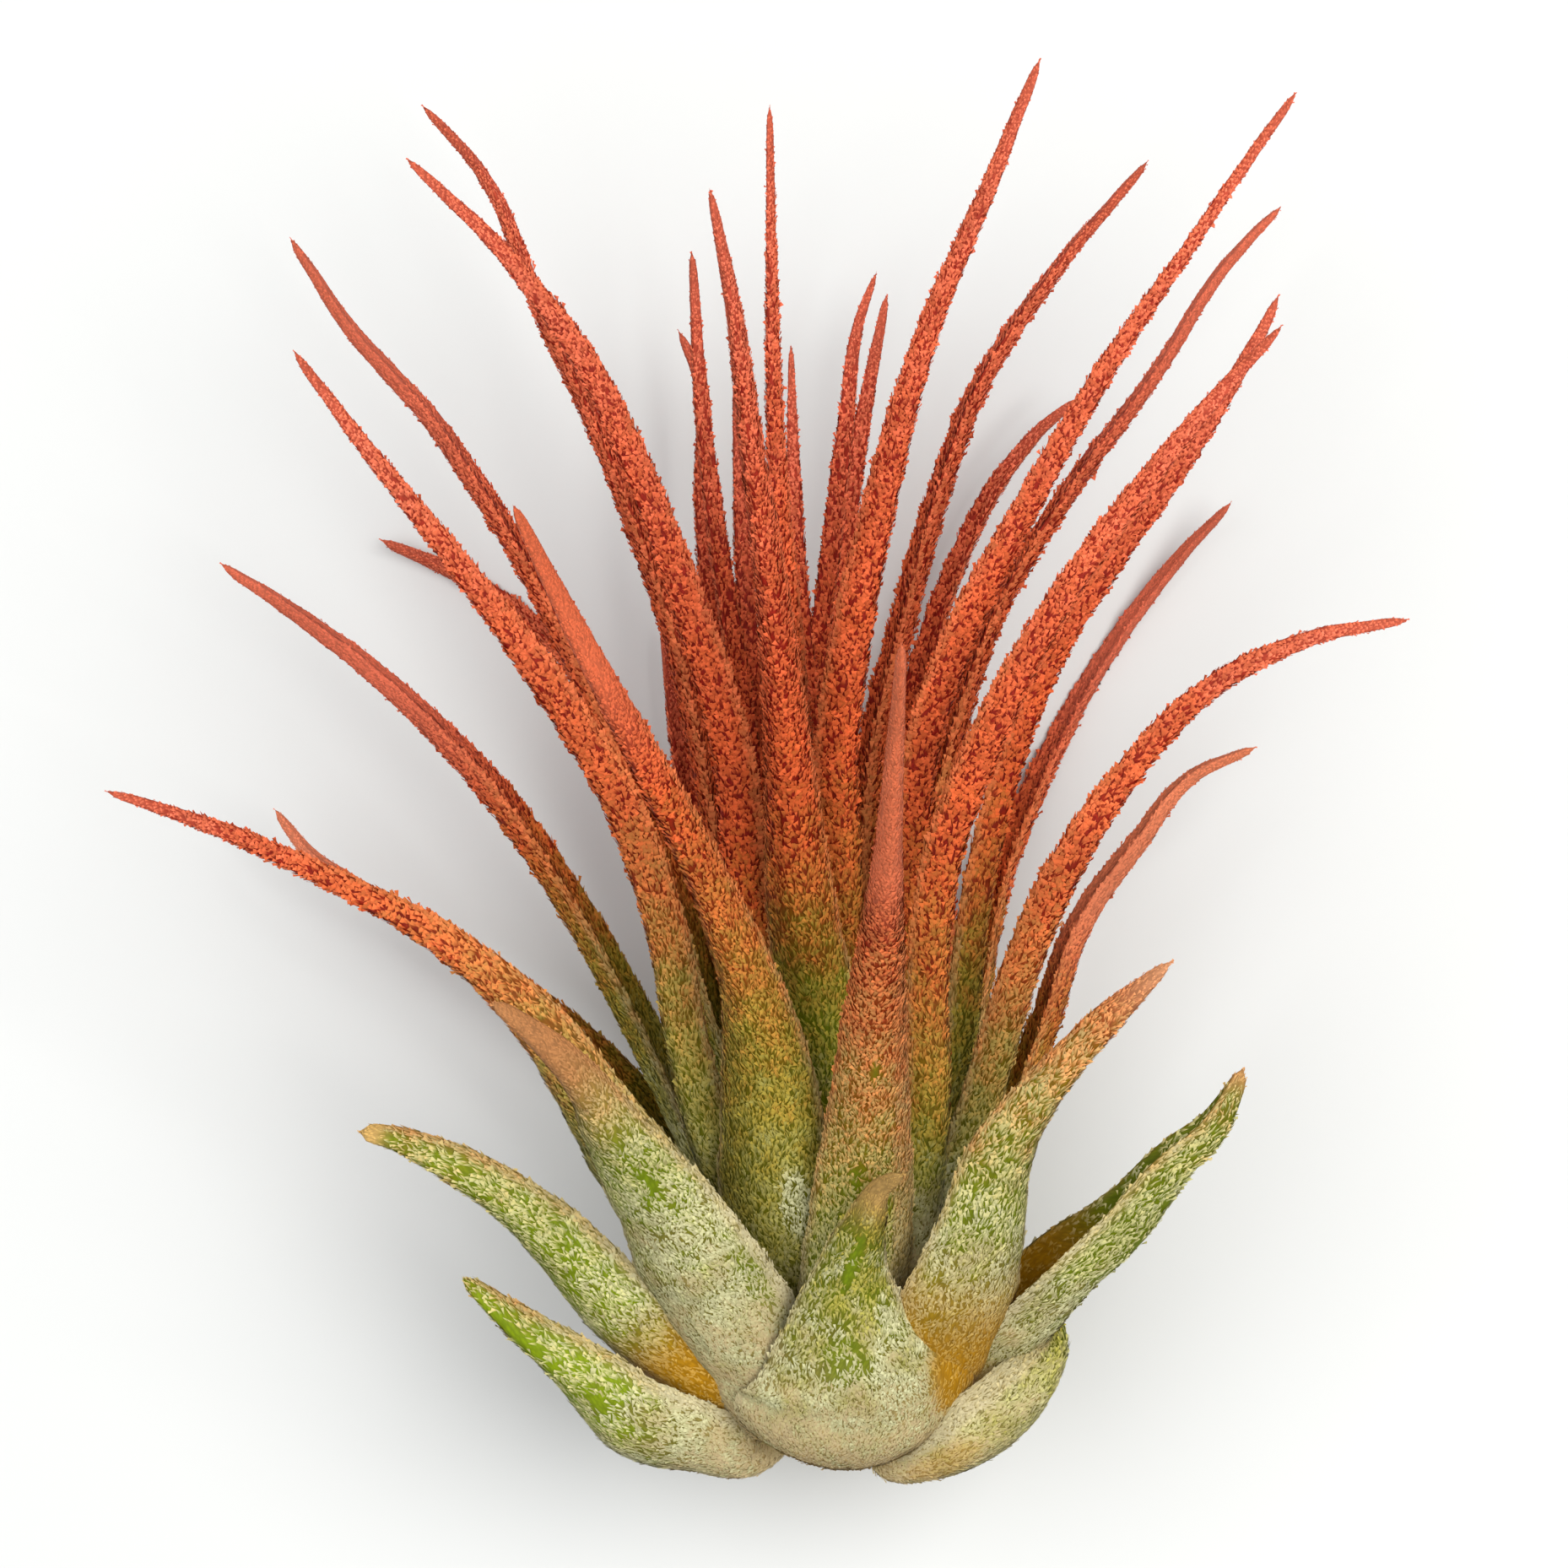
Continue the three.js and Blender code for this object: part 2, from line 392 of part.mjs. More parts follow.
// Short edges left by the cuts are closed up, and loose scraps dropped. Where the solid still
// touches itself along an edge, longer edges are closed up too
function cleaned(solid) {
  let result = null;
  for (const shortest of SHORTEST_EDGES) {
    const whole = largestPiece(solid.simplify(shortest));
    result = largestPiece(solidOf(geometryOf(whole)));
    if (edgesPairUp(mergeVertices(geometryOf(result).deleteAttribute('normal'), WELD_DISTANCE))) break;
  }
  return result;
}

// Leaves outermost first: an inner leaf gives way where an outer one presses on it
function buildLeaves() {
  const ground = groundSolid();
  const fatStem = stemSolid(CLEARANCE);
  const count = Object.values(LEAVES).flat().length;
  const built = [];
  for (const [ring, leaves] of Object.entries(LEAVES)) {
    leaves.forEach((row, index) => {
      const leaf = growLeaf(row, built.length, count, BURIED_RINGS.includes(ring));
      let solid = leafSolid(leaf).subtract(ground).subtract(fatStem);
      for (const other of built) {
        if (boxesMeet(solid, other.fat)) solid = solid.subtract(other.fat);
      }
      built.push({
        name: `${ring}_leaf_${index + 1}`,
        ring,
        solid: cleaned(solid),
        fat: leafSolid(leaf, CLEARANCE).add(leafSolid(leaf)),
      });
    });
  }
  return built;
}

function addPiece(group, name, solid, finish) {
  const material = new THREE.MeshStandardMaterial({ ...finish, metalness: 0 });
  const mesh = new THREE.Mesh(geometryOf(solid), material);
  mesh.name = name;
  group.add(mesh);
}

const plant = new THREE.Group();
addPiece(plant, 'stem', stemSolid(), COLOURS.stem);
for (const { name, ring, solid } of buildLeaves()) {
  addPiece(plant, name, solid, COLOURS[ring]);
}

export default plant;
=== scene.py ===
import bpy
import numpy as np
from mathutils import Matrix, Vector


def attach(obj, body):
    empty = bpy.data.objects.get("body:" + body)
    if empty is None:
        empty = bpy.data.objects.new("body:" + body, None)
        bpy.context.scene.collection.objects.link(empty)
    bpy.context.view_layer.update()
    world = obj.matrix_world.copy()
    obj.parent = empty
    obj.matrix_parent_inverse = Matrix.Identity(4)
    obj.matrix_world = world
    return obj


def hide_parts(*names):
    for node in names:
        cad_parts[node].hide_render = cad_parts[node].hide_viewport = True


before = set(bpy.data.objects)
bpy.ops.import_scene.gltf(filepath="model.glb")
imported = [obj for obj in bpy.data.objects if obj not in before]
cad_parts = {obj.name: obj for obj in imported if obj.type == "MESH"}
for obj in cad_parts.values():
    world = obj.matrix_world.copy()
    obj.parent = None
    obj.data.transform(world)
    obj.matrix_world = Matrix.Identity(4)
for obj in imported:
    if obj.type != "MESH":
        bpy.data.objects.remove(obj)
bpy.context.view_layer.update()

MM = 0.001
SEED = 20

# Stem, as in the solid. Lengths in millimetres
STEM_FOOT = np.array([5.1, -37.4, 9.5])
STEM_DIRECTION = np.array([-0.05, 0.975, 0.215])
STEM_DIRECTION /= np.linalg.norm(STEM_DIRECTION)
STEM_LENGTH = 14.5
STEM_RADIUS = 2.8
STEM_TOP_RADIUS = 1.2

# Leaf scars and sheaths, as in the solid
FIRST_SCAR = 0.8
SCAR_STEP = 0.3
SCAR_OFFSET = 0.8
SCAR_WIDTH_PER_RADIUS = 1.35
SHEATH_RISE = 5.0
SHEATH_OUTER_RADIUS = 6.4
SHEATH_INNER_RADIUS = 1.5

# Blade sections, as in the solid, but drawn out to thinner tips
SHEATH_THICKNESS = 0.9
BLADE_THICKNESS = 1.35
TIP_THICKNESS = 0.3
THICKNESS_PER_WIDTH = 0.55
NARROW_WIDTH = 2.0
WIDE_WIDTH = 6.0
NARROW_ARCH = 0.36
WIDE_ARCH = 0.22
MINIMUM_WIDTH = 0.3
USUAL_TWIST = 0.5
BACK_LIMIT = -0.2
SECTION_CENTRE = 0.42
LOOK_AHEAD = 0.02
REST_HEIGHT = 0.0

# Fineness of the skin
RINGS_PER_MM = 2.0
AROUND = 24
LINE_SAMPLES = 400
POINT_START = 0.975
LAST_POINT = 0.999
WAVE_SIZE = 0.03
WAVE_LENGTHS = (3.1, 5.3, 9.7)
SWAY = 0.04
ROOM_START_WIDTH = 0.5

# Trichome scales, in millimetres and per square millimetre
SCALES_PER_AREA = 60.0
SCALE_LENGTH = 0.38
SCALE_WIDTH = 0.145
SCALE_ROOM = 0.07
FLAT_LIFT = 0.03
COARSE_LIFT = 0.06
RED_LIFT = 0.095
STRAY_LIFT = 0.08
STRAY_SHARE = 0.06
FAN_SHARE = 0.35
RED_FAN_SHARE = 0.8
RED_WIDENING = 0.5
SCALE_YAW = 0.32
SWIRL = 0.5
SWIRL_WAVES = ((4.1, 4.5), (2.3, -6.5))
ROOT_LIFT = 0.004
PATCH_LENGTHS = (2.3, 3.9, 6.1)
PATCH_LEAN = (0.5, 1.5)
PATCHES_ACROSS = 3
PATCH_CONTRAST = 1.2
SILVER_SIZE = 1.0
COARSE_SIZE = 1.2
RED_SIZE = 1.2
TIP_SIZE = 0.75
PITS_PER_METRE = 2600.0

# Steps that spread places evenly over a square
SPREAD_STEPS = (0.7548776662466927, 0.5698402909980532)

BURIED_RINGS = ("inner", "heart")

# Leaves from the stem's foot to its top: points along the middle line from sheath to tip, as x, y, z
# and width. They are those of the solids, except that some edges are drawn up to about 1 mm away,
# closer to the photograph
LEAVES = {
    "basal": [
        {"twist": 0, "line": [[5.7, -37.5, 17.1, 12.6], [6, -34.8, 20.1, 13.8], [5.4, -31.4, 22.6, 8.5],
            [5.4, -27.9, 24.6, 4.8], [6.2, -24.5, 26.8, 2.5], [7.1, -22.3, 28.4, 1.2],
            [8.1, -21.6, 29.8, 0.6]]},
        {"line": [[5.1, -37.8, 3.1, 9.9], [5.1, -34.9, 1.2, 11.9], [5.1, -31.5, 0.5, 9.5],
            [4.6, -28, 0.4, 5.5], [4.4, -24.5, 0.5, 3], [4.1, -21, 1, 0.8]]},
        {"twist": 1.3, "depth": 1.2, "line": [[-0.3, -38.6, 13.6, 4.1], [-3.4, -37.9, 16.1, 5.8],
            [-6.6, -36.7, 17.6, 6.2], [-9.2, -34.3, 18.6, 4.8], [-11.3, -32.4, 19.2, 3.3],
            [-13.7, -30.4, 19.6, 2], [-16.5, -28, 19.8, 0.6]]},
        {"twist": 1.4, "depth": 1.2, "line": [[7.7, -38.8, 14.1, 2.9], [10.4, -38.4, 16.4, 4.4],
            [13.1, -36.7, 17.6, 5], [15.4, -34.6, 17.2, 4.2], [17, -32.4, 15.6, 2.2],
            [17.3, -30.6, 13.8, 0.5]]},
        {"line": [[2.1, -38.1, 4.6, 5.4], [-0.3, -36.3, 3, 5.7], [-3.6, -34.3, 1.6, 4.3],
            [-6.3, -32.7, 0.8, 2.6], [-8.7, -31.5, 0.5, 0.6]]},
        {"line": [[8.1, -38.1, 4.6, 5.4], [10.3, -36, 3, 5.9], [13.1, -33.7, 1.6, 4.3],
            [15.8, -31.7, 0.8, 2.5], [18.2, -30, 0.5, 0.6]]},
    ],
    "outer": [
        {"twist": 1.2, "line": [[-1.5, -35.5, 15.1, 5.4], [-4.8, -32.7, 18.1, 6.2],
            [-7.8, -29.9, 20.1, 5.7], [-10.4, -26.9, 21.1, 4.9], [-13.1, -24.2, 21.9, 3.8],
            [-16.7, -21.7, 22.4, 2.7], [-20.4, -20, 22.2, 1.4], [-22.2, -19.6, 21.9, 1]]},
        {"twist": -0.35, "depth": 2.4, "line": [[12.2, -35.3, 11.6, 4.3], [14.5, -31.6, 15.3, 6.3],
            [17.4, -28.1, 17.9, 6], [20.6, -25, 19.8, 3.3], [23.1, -21.7, 21.2, 2.1],
            [25.7, -19.2, 21.8, 1.4], [27.4, -16.1, 21.6, 0.4]]},
        {"twist": 0.9, "line": [[1.4, -36.7, 15.1, 5.3], [-0.5, -32.8, 19.1, 7.9],
            [-2.8, -28.5, 22.6, 8.2], [-5, -24.1, 26.1, 6.5], [-7.6, -19.9, 29.6, 4.4],
            [-9.5, -16.5, 32.4, 2.6], [-11.9, -13.8, 35.1, 1.6], [-14.2, -11.9, 37.1, 0.6]]},
        {"twist": 0.8, "line": [[9.3, -36.9, 13, 3.9], [10.8, -34.3, 16.2, 5.5],
            [11.5, -30.5, 20.8, 7.7], [12.7, -25.8, 24, 6.1], [14.1, -20.4, 26.2, 4.1],
            [16.6, -16.5, 27.6, 2.6], [20, -12.7, 28.6, 1.7], [22.9, -9.9, 29.6, 0.4]]},
        {"line": [[3.1, -35.6, 4.8, 6.4], [1.7, -31.3, 2.8, 6], [0.4, -26, 1.8, 4], [-0.6, -20, 1, 2.5],
            [-1.3, -13.6, 0.8, 1.8], [-1.8, -7.6, 1.8, 0.5]]},
        {"line": [[7.1, -35.6, 4.8, 6.4], [8.6, -31.3, 2.8, 6], [9.6, -26, 1.8, 4], [10.1, -20, 1, 2.5],
            [10.4, -13.6, 0.8, 1.8], [10.5, -7.6, 1.8, 0.5]]},
    ],
    "middle": [
        {"twist": 1.1, "line": [[0.4, -33.4, 14.1, 5.3], [-3.1, -28.1, 16.6, 7.2],
            [-6.4, -23.1, 18.6, 6.9], [-8.9, -19.1, 19.8, 5.5], [-11.5, -15, 20.6, 4.2],
            [-15.6, -10.5, 20.9, 2.6], [-19.9, -7.5, 20.9, 1.7], [-24.3, -5.3, 20.6, 1.2],
            [-30.6, -2.5, 20.2, 0.8], [-36.6, -0.5, 19.6, 0.3]]},
        {"line": [[3.1, -32.4, 15.1, 5.8], [1.7, -27.3, 19.1, 7.2], [0.9, -22.4, 22.1, 6.9],
            [0.6, -17.1, 24.6, 5.7], [-0.3, -11.8, 27.6, 3.9], [-2.3, -6.4, 30.6, 2.7],
            [-5.9, 0.9, 35.1, 2.1], [-9.6, 8, 39.6, 1.4], [-12.8, 14.7, 44.1, 0.5]]},
        {"line": [[5.3, -34.3, 15.6, 5.3], [5.5, -30.1, 19.6, 6.2], [5.9, -25.7, 22.6, 6.2],
            [6.3, -19.8, 26.6, 5], [6.6, -14.1, 30.6, 3.8], [7.1, -7, 36.1, 2.2], [7.4, -1, 41.6, 1.3],
            [7.8, 7.2, 49.6, 0.5]]},
        {"line": [[9.2, -29.6, 13.1, 4.3], [11.3, -23.7, 15.1, 3.9], [13.1, -17.6, 17.6, 3.2],
            [14.8, -11.3, 20.1, 2.7], [17, -5.5, 22.6, 2.4], [20.6, 0.3, 24.1, 1.7],
            [25.1, 5.1, 24.6, 1.3], [31.3, 8.2, 24.2, 0.8], [36.5, 9.1, 23.2, 0.3]]},
        {"line": [[0.2, -28, 8.6, 3.9], [-6.7, -18.8, 7.1, 3.4], [-12.6, -13.1, 7.1, 2.3],
            [-18.5, -9, 7.2, 1.6], [-22.9, -6.3, 7.1, 1.2], [-26.3, -3.8, 6.8, 0.7],
            [-28, -1.6, 6.6, 0.3]]},
        {"line": [[9.5, -27, 9.6, 3.7], [14.3, -19.7, 9.1, 2.9], [16.6, -13.9, 10.1, 2],
            [18.6, -8.1, 11.1, 1.7], [22, -3.3, 11.8, 1.3], [24.9, 0.3, 11.8, 0.8],
            [28.7, 2, 11.6, 0.3]]},
        {"line": [[0.2, -26.9, 10.6, 4.4], [-3.4, -20.9, 10.1, 4.4], [-6.2, -15.1, 10.6, 3.4],
            [-10, -7.9, 11.8, 2.5], [-15.3, -0.1, 13.1, 2], [-20.5, 5.2, 13.8, 1.5],
            [-25.7, 9.3, 14.1, 1], [-30.6, 12.5, 14.1, 0.3]]},
        {"line": [[5.1, -32, 7.1, 5.4], [4.9, -26.7, 5.6, 4.7], [4.4, -20.4, 4.6, 3.3],
            [3.9, -13, 3.6, 2.3], [2.9, -5.6, 2.8, 1.7], [2.1, 1.4, 2.6, 1.1], [1.7, 6.3, 3.1, 0.4]]},
        {"line": [[2.1, -27.1, 8.1, 3.9], [-0.3, -19.3, 6.4, 3], [-2.3, -10.5, 4.6, 2.2],
            [-3.7, -2.6, 3.4, 1.7], [-4.8, 4.3, 2.8, 1.2], [-5.5, 9.3, 2.8, 0.4]]},
        {"line": [[8, -27.1, 8.1, 3.9], [9.8, -19.3, 6.4, 3], [10.6, -11.5, 4.6, 2.2],
            [11.1, -4.6, 3.4, 1.7], [12, -0.1, 3, 1.3], [13.5, 4.3, 3, 0.4]]},
    ],
    "upper": [
        {"line": [[1.7, -28.5, 15.1, 4.3], [-2.4, -21.2, 18.1, 3.8], [-4, -14.9, 20.1, 3.1],
            [-5.2, -8.2, 22.1, 2.8], [-7.5, -1.3, 23.8, 2.6], [-11.1, 4.8, 25.1, 2.3],
            [-16.2, 11.8, 25.6, 1.4], [-21, 17.8, 25.6, 0.9], [-25.7, 24, 25.2, 0.3]]},
        {"line": [[7.9, -30.4, 16.1, 3.8], [9.3, -23.9, 20.1, 4], [9.9, -17.2, 22.4, 3.1],
            [9.8, -11, 24.1, 2.6], [10.5, -4.4, 26, 2.4], [12.6, 1.6, 27.6, 2.3], [16, 8.6, 28.6, 1.7],
            [21.3, 16.2, 28.1, 1.2], [25.5, 21.3, 26.8, 0.8], [29.3, 25.4, 25.2, 0.3]]},
        {"line": [[1.2, -24, 10.6, 3.4], [-1.8, -15.8, 7.6, 2.5], [-4.8, -6.1, 4.2, 1.9],
            [-8, 1.9, 1.6, 1.4], [-11.9, 8.1, 0.3, 1.2], [-16.8, 11.8, 0.5, 1],
            [-22.1, 14.3, 1.4, 0.4]]},
        {"line": [[9, -25, 10.1, 3.1], [12.2, -15.3, 7.1, 2.2], [14.3, -5.6, 3.2, 1.7],
            [17.4, 1.7, 0.6, 1.4], [20.7, 7.6, 0.4, 1.1], [24.6, 12.9, 1.6, 0.8],
            [27.8, 16.4, 3, 0.3]]},
        {"line": [[8.4, -26.3, 13.1, 3.9], [11.4, -16.4, 14.1, 2.7], [12.4, -7.2, 16.1, 2.1],
            [14, 0.1, 17.6, 1.8], [16.9, 7.5, 18.6, 1.6], [20.5, 13.1, 19.1, 1.4], [25, 19.5, 19.6, 1],
            [27.5, 23.7, 19.8, 0.8], [29.5, 27.4, 20.1, 0.3]]},
        {"line": [[6.6, -20.7, 7.6, 2.9], [7.3, -11, 5.1, 2.3], [8.2, -2.6, 3.8, 1.9],
            [9.6, 6.2, 3, 1.5], [11.5, 12.1, 2.8, 1.2], [14.2, 17.6, 3, 1], [16.5, 20.5, 3.2, 0.7],
            [18.8, 22.5, 3.6, 0.4]]},
    ],
    "inner": [
        {"line": [[4.5, -26.6, 15.6, 5.3], [4, -19.7, 18.6, 5.3], [3.3, -12.5, 21.6, 4.7],
            [2.5, -7, 24.1, 4], [1.9, -0.1, 26.6, 2.9], [1, 9.6, 30.6, 2], [-0.1, 17.6, 33.6, 1.4],
            [-1.2, 25.9, 36.4, 0.9], [-2.4, 32, 38.1, 0.4]]},
        {"line": [[2.6, -25.2, 14.1, 4.3], [0.8, -15.5, 17.1, 3.6], [-0.7, -6.3, 19.6, 3.1],
            [-1.4, 1.3, 21.6, 2.9], [-3.2, 8.1, 23.1, 2.4], [-5.5, 14.8, 24.1, 1.9],
            [-9.2, 23, 24.8, 1.5], [-13.9, 29.4, 25, 0.9], [-19.4, 34.8, 24.6, 0.3]]},
        {"line": [[6.5, -25.2, 14.1, 4], [8.5, -14, 17.1, 3.1], [8.9, -5.4, 19.6, 2.5],
            [9.4, 1.8, 21.6, 2.3], [11.7, 8.7, 23.6, 2.1], [15, 15.2, 25.1, 1.6],
            [19.4, 22.9, 26.1, 1.1], [24.1, 29.8, 26.6, 0.6], [27.1, 34.2, 26.6, 0.5],
            [30, 38.3, 26.4, 0.3]]},
        {"line": [[2.1, -24.9, 12.1, 3.4], [-1.7, -15.7, 12.1, 2.7], [-5.1, -5, 12.8, 2.1],
            [-9.2, 4.7, 13.6, 1.6], [-13.7, 13.5, 14.4, 1.4], [-18.4, 20.6, 15, 1.2],
            [-23.4, 26.3, 15.4, 0.8], [-26.5, 31, 15.6, 0.3]]},
        {"line": [[7, -22, 11.6, 3.1], [9.3, -9.3, 12.6, 2.2], [11.1, 2.3, 13.6, 1.6],
            [14.2, 10.7, 14.2, 1.1], [18.1, 17, 14.6, 1.1], [22.9, 23.5, 14.8, 0.8],
            [27, 29.8, 14.6, 0.6], [30, 32.9, 14.4, 0.3]]},
    ],
    "heart": [
        {"line": [[5.3, -24.2, 14.6, 3.7], [5.4, -14.5, 17.6, 3.2], [5, -5.4, 20.6, 2.9],
            [4.8, 2.2, 22.9, 2.7], [5.7, 9, 24.8, 2.4], [7.3, 16.7, 26.6, 1.9], [9.6, 24.9, 28.1, 1.3],
            [12.9, 32.8, 29.2, 0.9], [15.7, 39.8, 29.6, 0.4]]},
        {"line": [[2.6, -22.9, 12.1, 3.1], [-1, -9.8, 12.6, 2.5], [-2.6, -0.1, 13.6, 2.2],
            [-4.8, 9.5, 14.4, 1.9], [-6.4, 13.8, 14.6, 1.7], [-8.5, 19.1, 14.8, 1.4],
            [-12.3, 27.1, 15.2, 1], [-15.7, 34.9, 15.4, 0.6], [-19, 38.6, 15.2, 0.3]]},
        {"line": [[5.5, -21.9, 12.6, 2.9], [6.2, -9.8, 14.6, 2.2], [6.6, 1.8, 16.1, 1.8],
            [8.4, 9.4, 17, 1.6], [10.2, 16, 17.6, 1.4], [12.6, 22.4, 18, 1.1], [17.5, 29.7, 18, 0.7],
            [22.2, 35.2, 17.6, 0.3]]},
        {"line": [[3.4, -19.6, 11.6, 2.4], [0.4, -7.4, 11.6, 1.8], [-0.9, 4.7, 11.6, 1.3],
            [-2.2, 13.5, 11.6, 1.1], [-3.2, 22, 11.6, 0.8], [-3.7, 30.5, 11.6, 0.4]]},
        {"line": [[4.8, -19.7, 9.1, 2.2], [3.9, -7.5, 7.6, 1.7], [4.1, 6.3, 6.6, 1.2],
            [5.3, 15, 6.1, 1.1], [6.3, 21.5, 5.9, 0.9], [7.6, 28.4, 6.1, 0.4]]},
        {"line": [[3.6, -18.2, 10.1, 2.2], [0.9, -6.5, 9.1, 1.7], [-0.3, 5.5, 8.6, 1.2],
            [-0.8, 13.5, 8.6, 1], [-1.2, 23.3, 8.6, 0.4]]},
        {"line": [[3.1, -18.2, 9.1, 2.2], [-0.3, -6, 7.6, 1.7], [-2.3, 6.3, 6.6, 1.2],
            [-3.2, 16.1, 6.6, 0.9], [-3.5, 23.9, 7, 0.7], [-4.5, 26.2, 7.4, 0.4]]},
        {"line": [[4.5, -19.6, 11.6, 2.4], [3.5, -7.4, 11.6, 1.8], [3.3, 4.7, 11.6, 1.2],
            [4.3, 13, 11.6, 1.1], [5.2, 20.7, 11.6, 0.9], [5.9, 26.3, 11.6, 0.6],
            [6.9, 29.3, 11.6, 0.3]]},
        {"line": [[3.8, -20.4, 14.1, 2.7], [2.8, -8.3, 17.1, 2.3], [2.2, 2.2, 19.6, 1.9],
            [1.6, 10.8, 21.6, 1.5], [1.1, 18.8, 23.2, 1], [0.9, 27.8, 24.6, 0.6],
            [0.8, 37.6, 25.6, 0.3]]},
        {"line": [[4.3, -20, 12.6, 2.4], [3.7, -8.3, 14.1, 1.7], [3, 4.3, 15.4, 1.1],
            [2.3, 13.8, 16.2, 0.9], [2.1, 19.5, 16.7, 0.6], [2, 24.8, 17, 0.3]]},
    ],
}

# Looks that a leaf has unless its own entry says otherwise. Places along a leaf run from 0 at the
# sheath to 1 at the tip, and places across it from -1 at its left rim to 1 at its right rim.
# pale: where its silver sheath ends, olive: where it is olive green, blush: where it turns red
# ripe: its stage at the tip, fresh: how green its middle is, lime: how bright that green is
# silver: how white its sheath is, cover: how scaly its middle is, inner: how scaly its inner side is
# patchy: how far bare green shows between patches of scales, ochre: how far its golden foot reaches
# pink: how pale and pinkish its scales are, hollow: how far its golden inner side reaches
# soft: where its scales give way to a smooth tip, and where that is complete, tip: its colour there
# rims: where its scalier, paler rims begin; where one reaches far in, it is a painted highlight on the
# leaf's lit side
# bare, gold and white: spots without scales, golden or white, as along, across, length, width and
# strength, which is 1 where it isn't given
PLAIN_LOOK = {
    "pale": 0.04, "olive": 0.18, "blush": 0.40, "ripe": 1.0, "fresh": 0.1, "lime": 0.0, "silver": 0.4,
    "cover": 0.6, "inner": 0.8, "patchy": 0.0, "ochre": 0.0, "soft": (0.80, 1.10), "tip": (208, 102, 74),
    "pink": 0.1, "hollow": 0.0, "rims_and_lit_sides": (-0.93, 0.93), "bare": [], "gold": [], "white": [],
}
RING_LOOKS = {
    "basal": {"pale": 0.4, "olive": 0.9, "blush": 3.0, "fresh": 0.9, "silver": 0.9, "patchy": 0.5,
              "soft": (2.0, 3.0)},
    "outer": {"pale": 0.4, "olive": 0.9, "blush": 1.0, "fresh": 0.7, "silver": 0.8, "patchy": 0.4,
              "soft": (2.0, 3.0)},
    "middle": {"pale": 0.12, "olive": 0.28, "blush": 0.56, "fresh": 0.35, "silver": 0.6},
    "upper": {"pale": 0.06, "olive": 0.22, "blush": 0.46, "fresh": 0.4, "lime": 0.3, "silver": 0.5},
    "inner": {"pale": 0.03, "olive": 0.18, "fresh": 0.5, "lime": 0.3},
    "heart": {"pale": 0.02, "olive": 0.12, "blush": 0.38, "fresh": 0.4, "lime": 0.3, "silver": 0.3},
}
